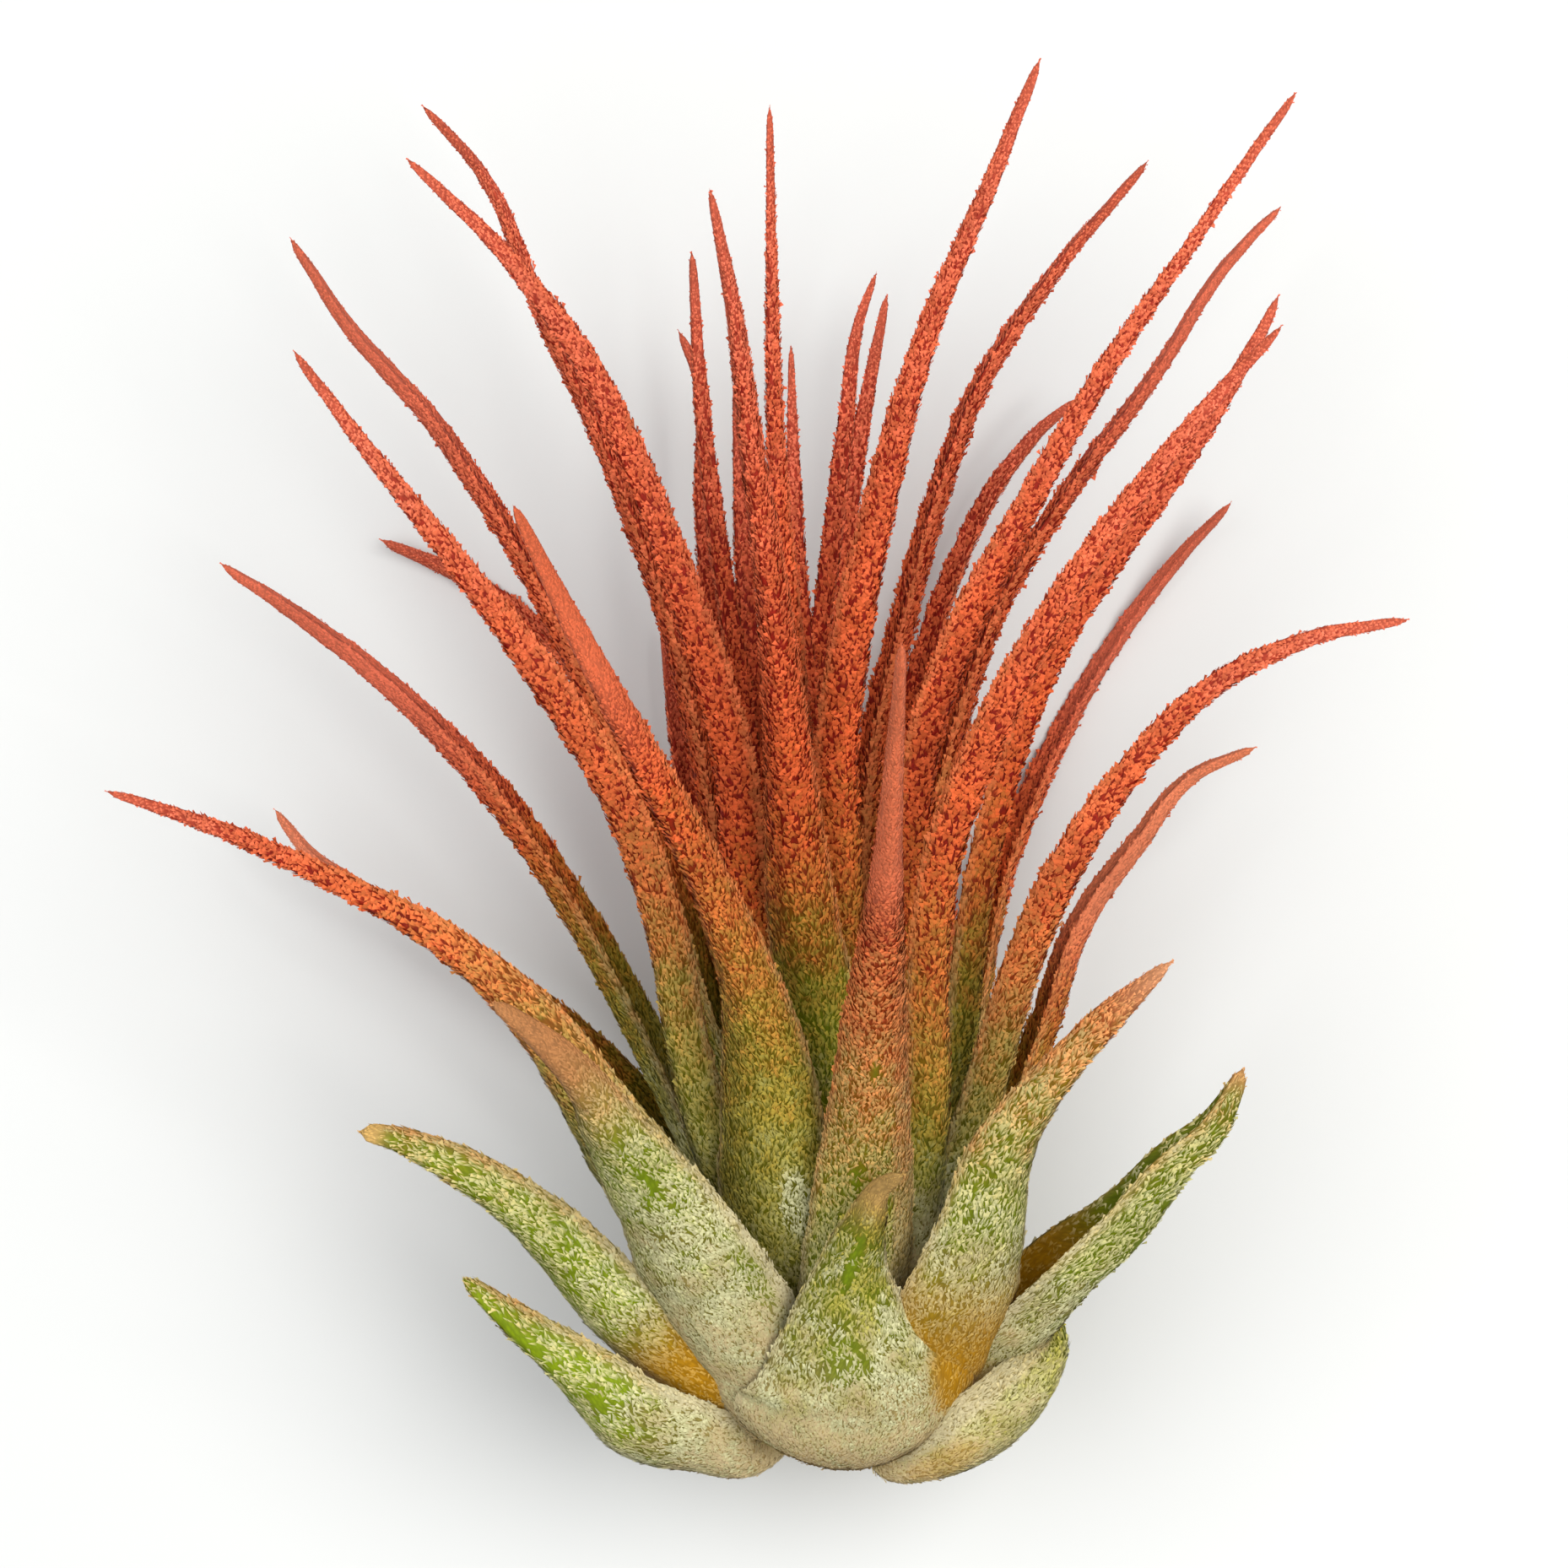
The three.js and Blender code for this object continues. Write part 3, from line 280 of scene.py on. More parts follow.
LEAF_LOOKS = {
    "basal_leaf_1": {
        "pale": 0.44, "olive": 1.0, "soft": (0.74, 0.90), "tip": (174, 138, 78), "fresh": 0.6,
        "silver": 1.0,
        "rims_and_lit_sides": (-0.97, 0.9), "cover": 0.6, "lime": 0.5,
        "bare": [(0.68, -0.22, 0.15, 0.30), (0.37, -0.12, 0.12, 0.55, 0.6)],
        # Its white spot on the right flank is partly silver scales and partly a painted highlight where the
        # key light falls
        "gold": [(0.20, 0.88, 0.14, 0.42, 1.0)], "white": [(0.44, 0.62, 0.16, 0.30, 0.9)],
    },
    "basal_leaf_3": {
        "pale": 0.40, "olive": 0.85, "fresh": 1.0, "lime": 0.9, "rims_and_lit_sides": (-0.98, 0.86), "cover": 0.5,
        "pink": 1.0,
        "bare": [(0.80, 0.1, 0.20, 0.5), (0.52, 0.1, 0.10, 0.3, 0.8)],
    },
    "basal_leaf_4": {
        "pale": 0.75, "olive": 1.1, "silver": 0.4, "fresh": 0.8, "patchy": 0.0, "rims_and_lit_sides": (-0.6, 0.95),
        "gold": [(0.25, -0.1, 0.22, 0.6, 0.4)], "bare": [(0.92, 0.3, 0.08, 0.4, 0.5)],
    },
    "outer_leaf_1": {
        "pale": 0.28, "olive": 0.8, "blush": 3.0, "fresh": 1.0, "lime": 0.7, "soft": (0.93, 0.97),
        "tip": (208, 168, 98), "ochre": 0.28, "rims_and_lit_sides": (-0.97, 0.86), "cover": 0.55, "pink": 1.0,
    },
    "outer_leaf_2": {
        "pale": 0.40, "olive": 0.9, "blush": 3.0, "fresh": 1.0, "lime": 0.35, "soft": (0.92, 1.0),
        "tip": (190, 140, 84), "ochre": 0.18, "rims_and_lit_sides": (-0.94, 0.96), "cover": 0.55, "inner": 0.4,
        "hollow": 0.50, "pink": 1.0, "white": [(0.42, -0.3, 0.12, 0.4, 0.8)],
    },
    "outer_leaf_3": {
        "pale": 0.50, "olive": 0.76, "blush": 1.3, "ripe": 0.6, "fresh": 1.0, "lime": 0.6,
        "soft": (0.60, 0.90),
        "tip": (180, 122, 74), "rims_and_lit_sides": (-0.94, 0.9), "cover": 0.65, "pink": 1.0,
        "bare": [(0.57, 0.3, 0.05, 0.22, 0.9), (0.67, 0.35, 0.035, 0.18, 0.8),
                 (0.33, 0.78, 0.12, 0.2, 0.5)],
    },
    "outer_leaf_4": {
        "pale": 0.44, "olive": 0.60, "blush": 1.15, "ripe": 0.6, "ochre": 0.36, "fresh": 0.8, "lime": 0.5,
        "soft": (0.84, 1.0), "tip": (202, 140, 98), "cover": 0.65, "pink": 1.0,
        "white": [(0.38, 0.3, 0.08, 0.5, 0.8)],
    },
    "middle_leaf_1": {"pale": 0.22, "olive": 0.36, "blush": 0.68, "pink": 0.5, "cover": 0.5},
    "middle_leaf_2": {
        "pale": 0.08, "olive": 0.34, "blush": 0.66, "silver": 0.2, "soft": (0.66, 0.82),
        "tip": (206, 98, 62),
        "pink": 0.2, "white": [(0.19, 0.45, 0.06, 0.35, 0.9)],
    },
    "middle_leaf_3": {
        "pale": 0.10, "olive": 0.28, "blush": 0.62, "fresh": 0.7, "lime": 0.4, "silver": 0.4, "ripe": 0.8,
        # Its right rim reaches far in: a painted highlight on its lit right side
        "soft": (0.58, 0.70), "tip": (204, 104, 68), "rims_and_lit_sides": (-0.93, 0.55), "pink": 0.8,
        "bare": [(0.44, 0.0, 0.03, 0.3, 0.6), (0.30, -0.2, 0.03, 0.3, 0.6)],
    },
    "middle_leaf_4": {
        # Its right rim reaches far in: a painted highlight on its lit right side
        "pale": 0.12, "olive": 0.25, "blush": 0.51, "silver": 0.9, "rims_and_lit_sides": (-0.93, 0.6), "pink": 0.6,
        "white": [(0.05, 0.0, 0.08, 0.9, 0.8)],
    },
    "middle_leaf_5": {
        "pale": 0.10, "olive": 0.30, "blush": 0.74, "soft": (0.6, 0.85), "tip": (214, 122, 88),
    },
    "middle_leaf_6": {
        "pale": 0.10, "olive": 0.18, "blush": 0.66, "soft": (0.40, 0.66), "tip": (210, 118, 82),
        "inner": 1.0,
    },
    "middle_leaf_7": {"pale": 0.10, "olive": 0.34, "blush": 0.58, "soft": (0.5, 0.8), "inner": 1.0},
    "upper_leaf_1": {
        "pale": 0.08, "olive": 0.26, "blush": 0.50, "rims_and_lit_sides": (-0.6, 0.93), "pink": 0.5, "silver": 0.2,
    },
    "upper_leaf_2": {
        # Its right rim reaches far in: a painted highlight on its lit right side
        "pale": 0.14, "olive": 0.19, "blush": 0.46, "silver": 0.8, "rims_and_lit_sides": (-0.93, 0.55), "pink": 0.2,
    },
    "upper_leaf_4": {"pale": 0.1, "blush": 0.46, "soft": (0.5, 0.8), "inner": 1.0},
    "inner_leaf_1": {
        "pale": 0.06, "olive": 0.22, "blush": 0.42, "fresh": 0.9, "lime": 0.35, "cover": 0.5,
    },
    "inner_leaf_2": {"olive": 0.08, "blush": 0.32, "pink": 0.0},
    "inner_leaf_3": {"olive": 0.10, "blush": 0.32},
    "inner_leaf_4": {"soft": (0.6, 0.9)},
    "inner_leaf_5": {"soft": (0.6, 0.9)},
    "heart_leaf_2": {"olive": 0.08, "blush": 0.30},
}

# How soft the edges of spots, rims and golden feet are, and the least share of a leaf that it takes
# to ripen from red to its tip's stage
SPOT_FALL = 1.5
SPOT_EDGE = (0.35, 0.7)
RIM_EDGE = 0.08
OCHRE_EDGE = (0.6, 1.3)
HOLLOW_EDGE = (0.7, 1.2)
SHORTEST_RIPENING = 0.3

# Stages of ripeness, from silver sheath over olive and orange brown to red and the coral tip
PALE_STAGE = 0.14
OLIVE_STAGE = 0.29
TURNING_STAGE = 0.44
RED_STAGE = 0.57

# Share of the full number of scales at each stage, as stages and shares: the silver felt and the red
# coat. Then how much thinner the middle gets in the red, and what rims and spots do to it
FELT_START = 0.04
FELTED_COVER = ([0.0, 0.06, PALE_STAGE, 0.21], [0.95, 0.85, 0.70, 0.0])
COATED_COVER = ([TURNING_STAGE, RED_STAGE, 0.75, 0.95], [0.0, 0.50, 0.55, 0.85])
RED_THINNING = 0.25
RIM_COVER = 0.75
BARE_CLEARING = 0.97
GOLDEN_CLEARING = 0.6

# Size of the scales at each stage, and how it varies
SCALE_SIZES = ([0.0, PALE_STAGE * 2, TURNING_STAGE, RED_STAGE, 1.0],
               [SILVER_SIZE, COARSE_SIZE, COARSE_SIZE, RED_SIZE, TIP_SIZE])
SIZE_RANGE = (0.75, 1.3)
WIDTH_RANGE = (0.8, 1.2)
LIFT_RANGE = (0.5, 1.5)
SOFT_SHRINKING = 0.3
TIP_SHRINKING = 0.3
RIM_CALM = 0.6

# Colours of the skin and of the scales on it at each stage. The skin's colours are its own green and red,
# darkened further as painted shade in the gaps between the scales
SKIN_COLOURS = [
    (0.00, (172, 148, 98)), (0.10, (114, 106, 44)), (0.18, (94, 91, 14)), (0.28, (90, 78, 2)),
    (0.38, (108, 60, 2)), (0.47, (118, 36, 2)), (0.57, (116, 16, 2)), (0.75, (132, 24, 8)),
    (1.00, (164, 54, 34)),
]
SCALE_COLOURS = [
    (0.00, (198, 178, 134)), (0.10, (172, 162, 104)), (0.18, (164, 154, 74)), (0.28, (158, 130, 38)),
    (0.38, (178, 116, 42)), (0.47, (196, 106, 44)), (0.57, (202, 88, 42)), (0.75, (204, 92, 54)),
    (1.00, (214, 108, 80)),
]
PINK_SKIN_COLOURS = [
    (0.00, (172, 148, 98)), (0.10, (114, 106, 44)), (0.18, (100, 98, 20)), (0.28, (106, 94, 10)),
    (0.38, (122, 80, 12)), (0.47, (132, 58, 12)), (0.57, (130, 32, 8)), (0.75, (138, 34, 14)),
    (1.00, (166, 58, 38)),
]
PINK_SCALE_COLOURS = [
    (0.00, (198, 178, 134)), (0.10, (176, 166, 118)), (0.18, (178, 168, 108)), (0.28, (184, 160, 96)),
    (0.38, (200, 150, 90)), (0.47, (206, 132, 76)), (0.57, (206, 108, 60)), (0.75, (206, 98, 58)),
    (1.00, (216, 114, 88)),
]
# Colours of the pale rims, partly the real pale fringe of scales and partly a painted highlight on the lit
# side of some leaves
RIM_AND_LIT_SIDE_SKIN_COLOURS = [
    (0.10, (150, 136, 92)), (0.26, (130, 106, 50)), (0.45, (140, 64, 18)), (0.80, (144, 38, 18)),
]
RIM_AND_LIT_SIDE_SCALE_COLOURS = [
    (0.10, (192, 182, 146)), (0.26, (184, 158, 104)), (0.45, (204, 124, 68)), (0.80, (212, 104, 68)),
]
FRESH_SKIN = (76, 84, 2)
FRESH_SCALE = (162, 158, 54)
PALE_FRESH_SCALE = (192, 190, 128)
LIME_SKIN = (118, 138, 6)
BARE_GREEN = (84, 100, 8)
# Painted shade in the pits between the red scales, over the dark red skin
PIT_SHADE_RED = (116, 14, 5)
OCHRE_SKIN = (158, 112, 8)
OCHRE_SCALE = (186, 142, 50)
SILVER_SCALE = (198, 196, 152)
SOFT_SKIN_SHADE = 0.88
BLOTCHES_PER_METRE = 650.0
BLOTCH_STRENGTH = 0.20
STRAY_STAGE = 0.08
WHITE_PATCHES_PER_METRE = 420.0
TONES_PER_METRE = 260.0
PIT_FIELDS_PER_METRE = 300.0
RIM_AND_LIT_SIDE_STRENGTH = 0.8
FRESH_FELT = 0.8
GOLDEN_FELT = 0.9
GRAIN_CELLS = (5.5, 2.4, 1.0)
GRAIN_DEPTH = 0.00006
PIT_DEPTH = 0.75
PIT_RING = 0.22
SKIN_ROUGHNESS = 0.60
SCALE_ROUGHNESS = 0.72
LEAF_SPECULAR = 0.12
BARK_ROUGHNESS = 0.9
BARK_DEPTH = 0.0003
STEM_BARK = (70, 44, 22)
STEM_CUT = (150, 110, 62)

# Camera straight above the plant, with its place in millimetres, and the floor, in metres
CAMERA_PLACE = (1.603, -0.085, 441.6)
CAMERA_LENS = 171.6
CAMERA_SENSOR = 36.0
FLOOR_SIZE = 3.0
FLOOR_COLOUR = (0.615, 0.627, 0.622)
FLOOR_ROUGHNESS = 0.85

# Lights: place in metres, size in metres, power in watts and colour, and the studio's even light
KEY_LIGHT = ((0.24, 0.05, 0.50), 0.42, 2.9, (1.0, 0.985, 0.96))
FILL_LIGHT = ((-0.26, 0.00, 0.50), 0.50, 1.6, (0.98, 0.985, 1.0))
STUDIO_LIGHT = 0.55


def smoothstep(low, high, value):
    t = np.clip((value - low) / (high - low), 0.0, 1.0)
    return t * t * (3.0 - 2.0 * t)


def unit(vectors):
    return vectors / np.maximum(np.linalg.norm(vectors, axis=-1, keepdims=True), 1e-12)


def linear(colour):
    """A colour of 0 to 255 as a shader's linear colour."""
    c = np.array(colour, float) / 255.0
    c = np.where(c <= 0.04045, c / 12.92, ((c + 0.055) / 1.055) ** 2.4)
    return (*c.tolist(), 1.0)


def between(stops, others, share):
    """A ramp's stops, between those of two ramps with the same places."""
    return [(place, tuple(a + (b - a) * share for a, b in zip(colour, other)))
            for (place, colour), (_, other) in zip(stops, others)]


def stem_radius(height):
    return STEM_RADIUS + (STEM_TOP_RADIUS - STEM_RADIUS) * min(height / STEM_LENGTH, 1.0)


def stem_point(height):
    return STEM_FOOT + STEM_DIRECTION * height


# Middle lines of the leaves
def outward_of(points):
    """Direction in which a leaf leaves the stem."""
    offsets = points[:, :3] - STEM_FOOT
    offsets = offsets - np.outer(offsets @ STEM_DIRECTION, STEM_DIRECTION)
    return unit(offsets.sum(axis=0))


def grow_leaf(row, order, count, buried):
    """The leaf's own points, led back to its scar on the stem."""
    points = np.array(row["line"], float)
    outward = outward_of(points)
    scar = FIRST_SCAR + SCAR_STEP * order
    foot = stem_point(scar) + outward * (stem_radius(scar) + SCAR_OFFSET)
    if buried:
        share = order / count
        radius = SHEATH_OUTER_RADIUS + (SHEATH_INNER_RADIUS - SHEATH_OUTER_RADIUS) * share
        points[0, :3] = stem_point(scar + SHEATH_RISE) + outward * radius
    first = [*foot, SCAR_WIDTH_PER_RADIUS * stem_radius(scar)]
    usual = USUAL_TWIST if outward[2] > BACK_LIMIT else 0.0
    return {
        "knots": np.vstack([first, points]),
        "outward": outward,
        "twist": row.get("twist", usual),
        "depth": row.get("depth", 1.0),
    }


def curve_at(knots, s):
    """Smooth curve through the knots, for x, y, z and width at once."""
    last = len(knots) - 1
    steps = np.linalg.norm(np.diff(knots[:, :3], axis=0), axis=1)
    slopes = np.diff(knots, axis=0) / steps[:, None]
    tangents = np.vstack([slopes[:1], slopes[:1].repeat(last - 1, 0), slopes[-1:]])
    before = steps[:-1, None]
    after = steps[1:, None]
    tangents[1:last] = (slopes[:-1] * after + slopes[1:] * before) / (before + after)
    i = np.minimum(s.astype(int), last - 1)
    t = (s - i)[:, None]
    length = steps[i][:, None]
    return (knots[i] * (1 + 2 * t) * (1 - t) ** 2 + knots[i + 1] * t * t * (3 - 2 * t)
            + tangents[i] * length * t * (1 - t) ** 2 - tangents[i + 1] * length * t * t * (1 - t))


def thickness_at(width):
    narrow = np.minimum(TIP_THICKNESS + THICKNESS_PER_WIDTH * width, BLADE_THICKNESS)
    share = smoothstep(NARROW_WIDTH, WIDE_WIDTH, width)
    return narrow + (SHEATH_THICKNESS - narrow) * share


def arch_at(width):
    return width * (NARROW_ARCH + (WIDE_ARCH - NARROW_ARCH) * smoothstep(NARROW_WIDTH, WIDE_WIDTH, width))


def wave(distance, rng):
    """Slow irregular swing about 0 along a leaf."""
    total = np.zeros_like(distance)
    for length in WAVE_LENGTHS:
        total += np.sin(distance * 2 * np.pi / length + rng.uniform(0, 2 * np.pi))
    return total / len(WAVE_LENGTHS)


def leaf_grid(leaf, rng):
    """The skin's points as rings of AROUND points, with where each lies on the leaf."""
    knots = leaf["knots"]
    last = len(knots) - 1
    samples = np.linspace(0, last, LINE_SAMPLES)
    coarse = curve_at(knots, samples)[:, :3]
    travelled = np.concatenate([[0], np.cumsum(np.linalg.norm(np.diff(coarse, axis=0), axis=1))])
    length = travelled[-1]
    rings = int(length * RINGS_PER_MM)
    distance = np.linspace(0, length, rings)
    s = np.interp(distance, travelled, samples)
    line = curve_at(knots, s)
    along = unit(curve_at(knots, np.minimum(s + LOOK_AHEAD, last))[:, :3]
                 - curve_at(knots, np.maximum(s - LOOK_AHEAD, 0))[:, :3])
    across = np.cross(STEM_DIRECTION, leaf["outward"])
    across = unit(across - along * (along @ across)[:, None])
    out = np.cross(across, along)
    out[:, 2] += leaf["twist"]
    out = unit(out - along * (out * along).sum(axis=1, keepdims=True))
    across = np.cross(along, out)

    width = np.maximum(line[:, 3], MINIMUM_WIDTH)
    share = distance / length
    past = np.clip((share - POINT_START) / (1 - POINT_START), 0, LAST_POINT)
    point = np.sqrt(np.clip(1 - past ** 2, 0, 1))
    room = SCALE_ROOM * smoothstep(ROOM_START_WIDTH, NARROW_WIDTH, width)
    half = (width / 2 * (1 + WAVE_SIZE * wave(distance, rng)) - room) * point
    thick = (thickness_at(width) / 2 - room) * point
    arch = arch_at(width) * leaf["depth"] * point
    centre = line[:, :3] + out * (SWAY * wave(distance, rng))[:, None]
    angle = np.arange(AROUND) * 2 * np.pi / AROUND
    v = -np.cos(angle)
    side = np.sin(angle)
    rise = arch[:, None] * (SECTION_CENTRE - v ** 2) + thick[:, None] * side
    grid = (centre[:, None, :] + across[:, None, :] * (half[:, None] * v)[..., None]
            + out[:, None, :] * rise[..., None])
    grid[..., 2] = np.maximum(grid[..., 2], REST_HEIGHT)
    own_start = np.interp(1.0, s, distance)
    own = np.clip((distance - own_start) / (length - own_start), 0, 1)
    return {"grid": grid, "distance": distance, "own": own, "v": v, "side": side}


# What the material reads at places along and across a leaf
def spots_at(spots, own, v, side):
    """Soft spots on the leaf's outer side, from 0 to 1."""
    total = np.zeros_like(own)
    for along, across, length, width, *strength in spots:
        near = np.exp(-SPOT_FALL * ((own - along) / length) ** 2 - SPOT_FALL * ((v - across) / width) ** 2)
        total = np.maximum(total, smoothstep(*SPOT_EDGE, near) * (side > 0) * (strength or [1.0])[0])
    return total


def reach_of(reach, edge, own):
    """1 from a leaf's foot to about the given reach, and 0 beyond it."""
    low, high = edge
    return 1 - smoothstep(reach * low, reach * high, own)


def fields_at(look, own, v, side):
    """Stage of ripeness and the other values that the material reads."""
    ripe_at = max(look["blush"] + SHORTEST_RIPENING, 1.0)
    stops = [0.0, look["pale"], look["olive"], look["blush"], ripe_at]
    stages = [0.0, PALE_STAGE, OLIVE_STAGE, RED_STAGE, look["ripe"]]
    left, right = look["rims_and_lit_sides"]
    foot = reach_of(look["ochre"], OCHRE_EDGE, own) if look["ochre"] else 0.0
    if look["hollow"]:
        foot = np.maximum(foot, reach_of(look["hollow"], HOLLOW_EDGE, own) * (side < 0))
    return {
        "stage": np.interp(own, stops, stages),
        "rim_and_lit_side": np.maximum(smoothstep(right - RIM_EDGE, right + RIM_EDGE, v),
                          smoothstep(-left - RIM_EDGE, -left + RIM_EDGE, -v)),
        "golden": np.maximum(foot, spots_at(look["gold"], own, v, side)),
        "white": spots_at(look["white"], own, v, side),
        "bare": spots_at(look["bare"], own, v, side),
        "soft": smoothstep(*look["soft"], own),
    }


def mottle(distance, v, rng):
    """Uneven patches on the skin, from 0 to 1."""
    total = np.zeros_like(distance)
    for length in PATCH_LENGTHS:
        turn = rng.uniform(0, 2 * np.pi, 2)
        lean = rng.uniform(*PATCH_LEAN)
        along = np.sin(distance * 2 * np.pi / length + turn[0])
        total += along * np.sin(v * PATCHES_ACROSS * lean + distance * lean + turn[1])
    return smoothstep(-PATCH_CONTRAST, PATCH_CONTRAST, total)


# Trichome scales
def scatter(count, rng):
    """Evenly spread pairs of numbers from 0 to 1."""
    n = np.arange(count) + rng.integers(1000)
    return [np.mod(n * step, 1) for step in SPREAD_STEPS]


def girth_of(grid):
    """Closed rings, the lengths of their edges, and how far round each corner is."""
    loop = np.concatenate([grid, grid[:, :1]], axis=1)
    around = np.linalg.norm(np.diff(loop, axis=1), axis=2)
    return loop, around, np.concatenate([np.zeros((len(grid), 1)), np.cumsum(around, axis=1)], axis=1)


def spread_over(skin, density, rng):
    """Places spread evenly over the skin, with directions and with where they are on the leaf."""
    grid = skin["grid"]
    loop, around, girth = girth_of(grid)
    band = np.diff(skin["distance"]) * (girth[1:, -1] + girth[:-1, -1]) / 2
    area = np.concatenate([[0], np.cumsum(band)])
    first, second = scatter(int(area[-1] * density), rng)
    row = np.interp(first, area / area[-1], np.arange(len(grid)))
    i = np.minimum(row.astype(int), len(grid) - 2)
    t = (row - i)[:, None]
    reach = second * girth[i, -1]
    j = np.minimum((girth[i, 1:] <= reach[:, None]).sum(axis=1), AROUND - 1)
    u = ((reach - girth[i, j]) / np.maximum(around[i, j], 1e-9))[:, None]
    low = loop[i, j] * (1 - u) + loop[i, j + 1] * u
    high = loop[i + 1, j] * (1 - u) + loop[i + 1, j + 1] * u
    forward = unit(high - low)
    sideways = unit(loop[i, j + 1] - loop[i, j])
    angle = (j + u[:, 0]) * 2 * np.pi / AROUND
    return {
        "place": low * (1 - t) + high * t,
        "forward": forward,
        "sideways": sideways,
        "normal": unit(np.cross(sideways, forward)),
        "own": skin["own"][i] + (skin["own"][i + 1] - skin["own"][i]) * t[:, 0],
        "distance": skin["distance"][i],
        "v": -np.cos(angle),
        "side": np.sin(angle),
    }


def cover_at(look, at, rng):
    """Share of the full number of flakes that places on the skin have."""
    fields = fields_at(look, at["own"], at["v"], at["side"])
    stage = fields["stage"]
    gaps = look["patchy"] * mottle(at["distance"], at["v"], rng)
    felted = np.interp(stage, *FELTED_COVER)
    felted *= 1 - gaps * smoothstep(FELT_START, PALE_STAGE, stage)
    coated = np.interp(stage, *COATED_COVER)
    thin = look["cover"] * (1 - gaps) * (1 - RED_THINNING * smoothstep(TURNING_STAGE, RED_STAGE, stage))
    cover = np.maximum.reduce([thin, felted, coated, fields["rim_and_lit_side"] * RIM_COVER])
    inner = np.where(at["side"] < 0, look["inner"], 1.0)
    return cover * inner * (1 - BARE_CLEARING * fields["bare"]) * (1 - GOLDEN_CLEARING * fields["golden"])


def place_scales(skin, look, rng):
    """Flakes on the skin, pointed or fanned out, with what the material reads."""
    at = spread_over(skin, SCALES_PER_AREA, rng)
    kept = rng.random(len(at["own"])) < cover_at(look, at, rng)
    at = {key: values[kept] for key, values in at.items()}
    count = len(at["own"])
    own = at["own"]
    fields = fields_at(look, own, at["v"], at["side"])
    stage = fields["stage"]
    soft = fields["soft"]
    turns = rng.uniform(0, 2 * np.pi, 2)
    first, second = [np.sin(at["distance"] * along + at["v"] * across + turn)
                     for (along, across), turn in zip(SWIRL_WAVES, turns)]
    swirl = (first + second) * SWIRL / 2
    yaw = (rng.normal(0, SCALE_YAW, count) + swirl) * (1 - RIM_CALM * smoothstep(0.8, 1.0, abs(at["v"])))
    yaw = yaw[:, None]
    heading = unit(at["forward"] * np.cos(yaw) + at["sideways"] * np.sin(yaw))
    cross = np.cross(at["normal"], heading)
    ripe = smoothstep(TURNING_STAGE - 0.05, RED_STAGE, stage)
    bigger = np.interp(stage, *SCALE_SIZES)
    size = rng.uniform(*SIZE_RANGE, count) * bigger * (1 - SOFT_SHRINKING * soft)
    size = size * (1 - TIP_SHRINKING * smoothstep(0.8, 1.0, own))
    long = (SCALE_LENGTH * size)[:, None]
    half = SCALE_WIDTH / 2 * size * (1 + RED_WIDENING * ripe) * rng.uniform(*WIDTH_RANGE, count)
    half = half[:, None]
    coarse = smoothstep(PALE_STAGE, PALE_STAGE * 2, stage) * (1 - smoothstep(0.7, 0.95, stage)) * (1 - soft)
    rise = FLAT_LIFT + (COARSE_LIFT - FLAT_LIFT) * coarse
    rise = rise + (RED_LIFT - rise) * ripe * (1 - soft) * (1 - smoothstep(0.8, 1.0, stage))
    rise = np.where(rng.random(count) < STRAY_SHARE * (1 - soft), STRAY_LIFT, rise)
    lift = (rise * size * rng.uniform(*LIFT_RANGE, count))[:, None]
    root = at["place"] + at["normal"] * ROOT_LIFT
    end = at["place"] + heading * long + at["normal"] * lift
    fan = rng.random(count) < FAN_SHARE + (RED_FAN_SHARE - FAN_SHARE) * ripe
    wide = cross * half
    pointed = np.stack([root + wide, root - wide, end], axis=1)
    fanned = np.stack([root, end - wide, end + wide], axis=1)
    corners = np.where(fan[:, None, None], fanned, pointed)
    corners[..., 2] = np.maximum(corners[..., 2], REST_HEIGHT)
    # 0 at each flake's root and 1 at its raised corners, which the material reads for painted shade at the
    # roots
    lifted = np.where(fan[:, None], [0.0, 1.0, 1.0], [0.0, 0.0, 1.0])
    return {**at, "corners": corners, "lifted": lifted, "shade": rng.random(count)}


# Meshes
def skin_faces(rings):
    """Four-cornered faces of a closed tube of rings, with its two ends."""
    ring = np.arange(rings - 1)[:, None] * AROUND
    j = np.arange(AROUND)[None, :]
    after = (j + 1) % AROUND
    above = ring + AROUND
    faces = np.stack([ring + j, ring + after, above + after, above + j], axis=2).reshape(-1, 4)
    k = np.arange(AROUND // 2 - 1)
    end = np.stack([k, k + 1, AROUND - 2 - k, AROUND - 1 - k], axis=1)
    foot = end[:, ::-1]
    tip = end + (rings - 1) * AROUND
    return np.vstack([faces, foot, tip])


def skin_maps(skin):
    """Where the skin's corners lie in its grain, in millimetres, and in an image of the whole leaf."""
    rings = len(skin["grid"])
    girth = girth_of(skin["grid"])[2]
    i = np.arange(rings - 1)[:, None].repeat(AROUND, 1)
    j = np.arange(AROUND)[None, :].repeat(rings - 1, 0)
    corner_i = np.stack([i, i, i + 1, i + 1], axis=2).reshape(-1)
    corner_j = np.stack([j, j + 1, j + 1, j], axis=2).reshape(-1)
    grain = np.stack([girth[corner_i, corner_j], skin["distance"][corner_i]], axis=1)
    image = np.stack([0.01 + 0.47 * corner_j / AROUND, 0.01 + 0.98 * corner_i / (rings - 1)], axis=1)
    ends = 2 * (AROUND // 2 - 1) * 4
    return np.vstack([grain, np.zeros((ends, 2))]), np.vstack([image, np.full((ends, 2), 0.003)])


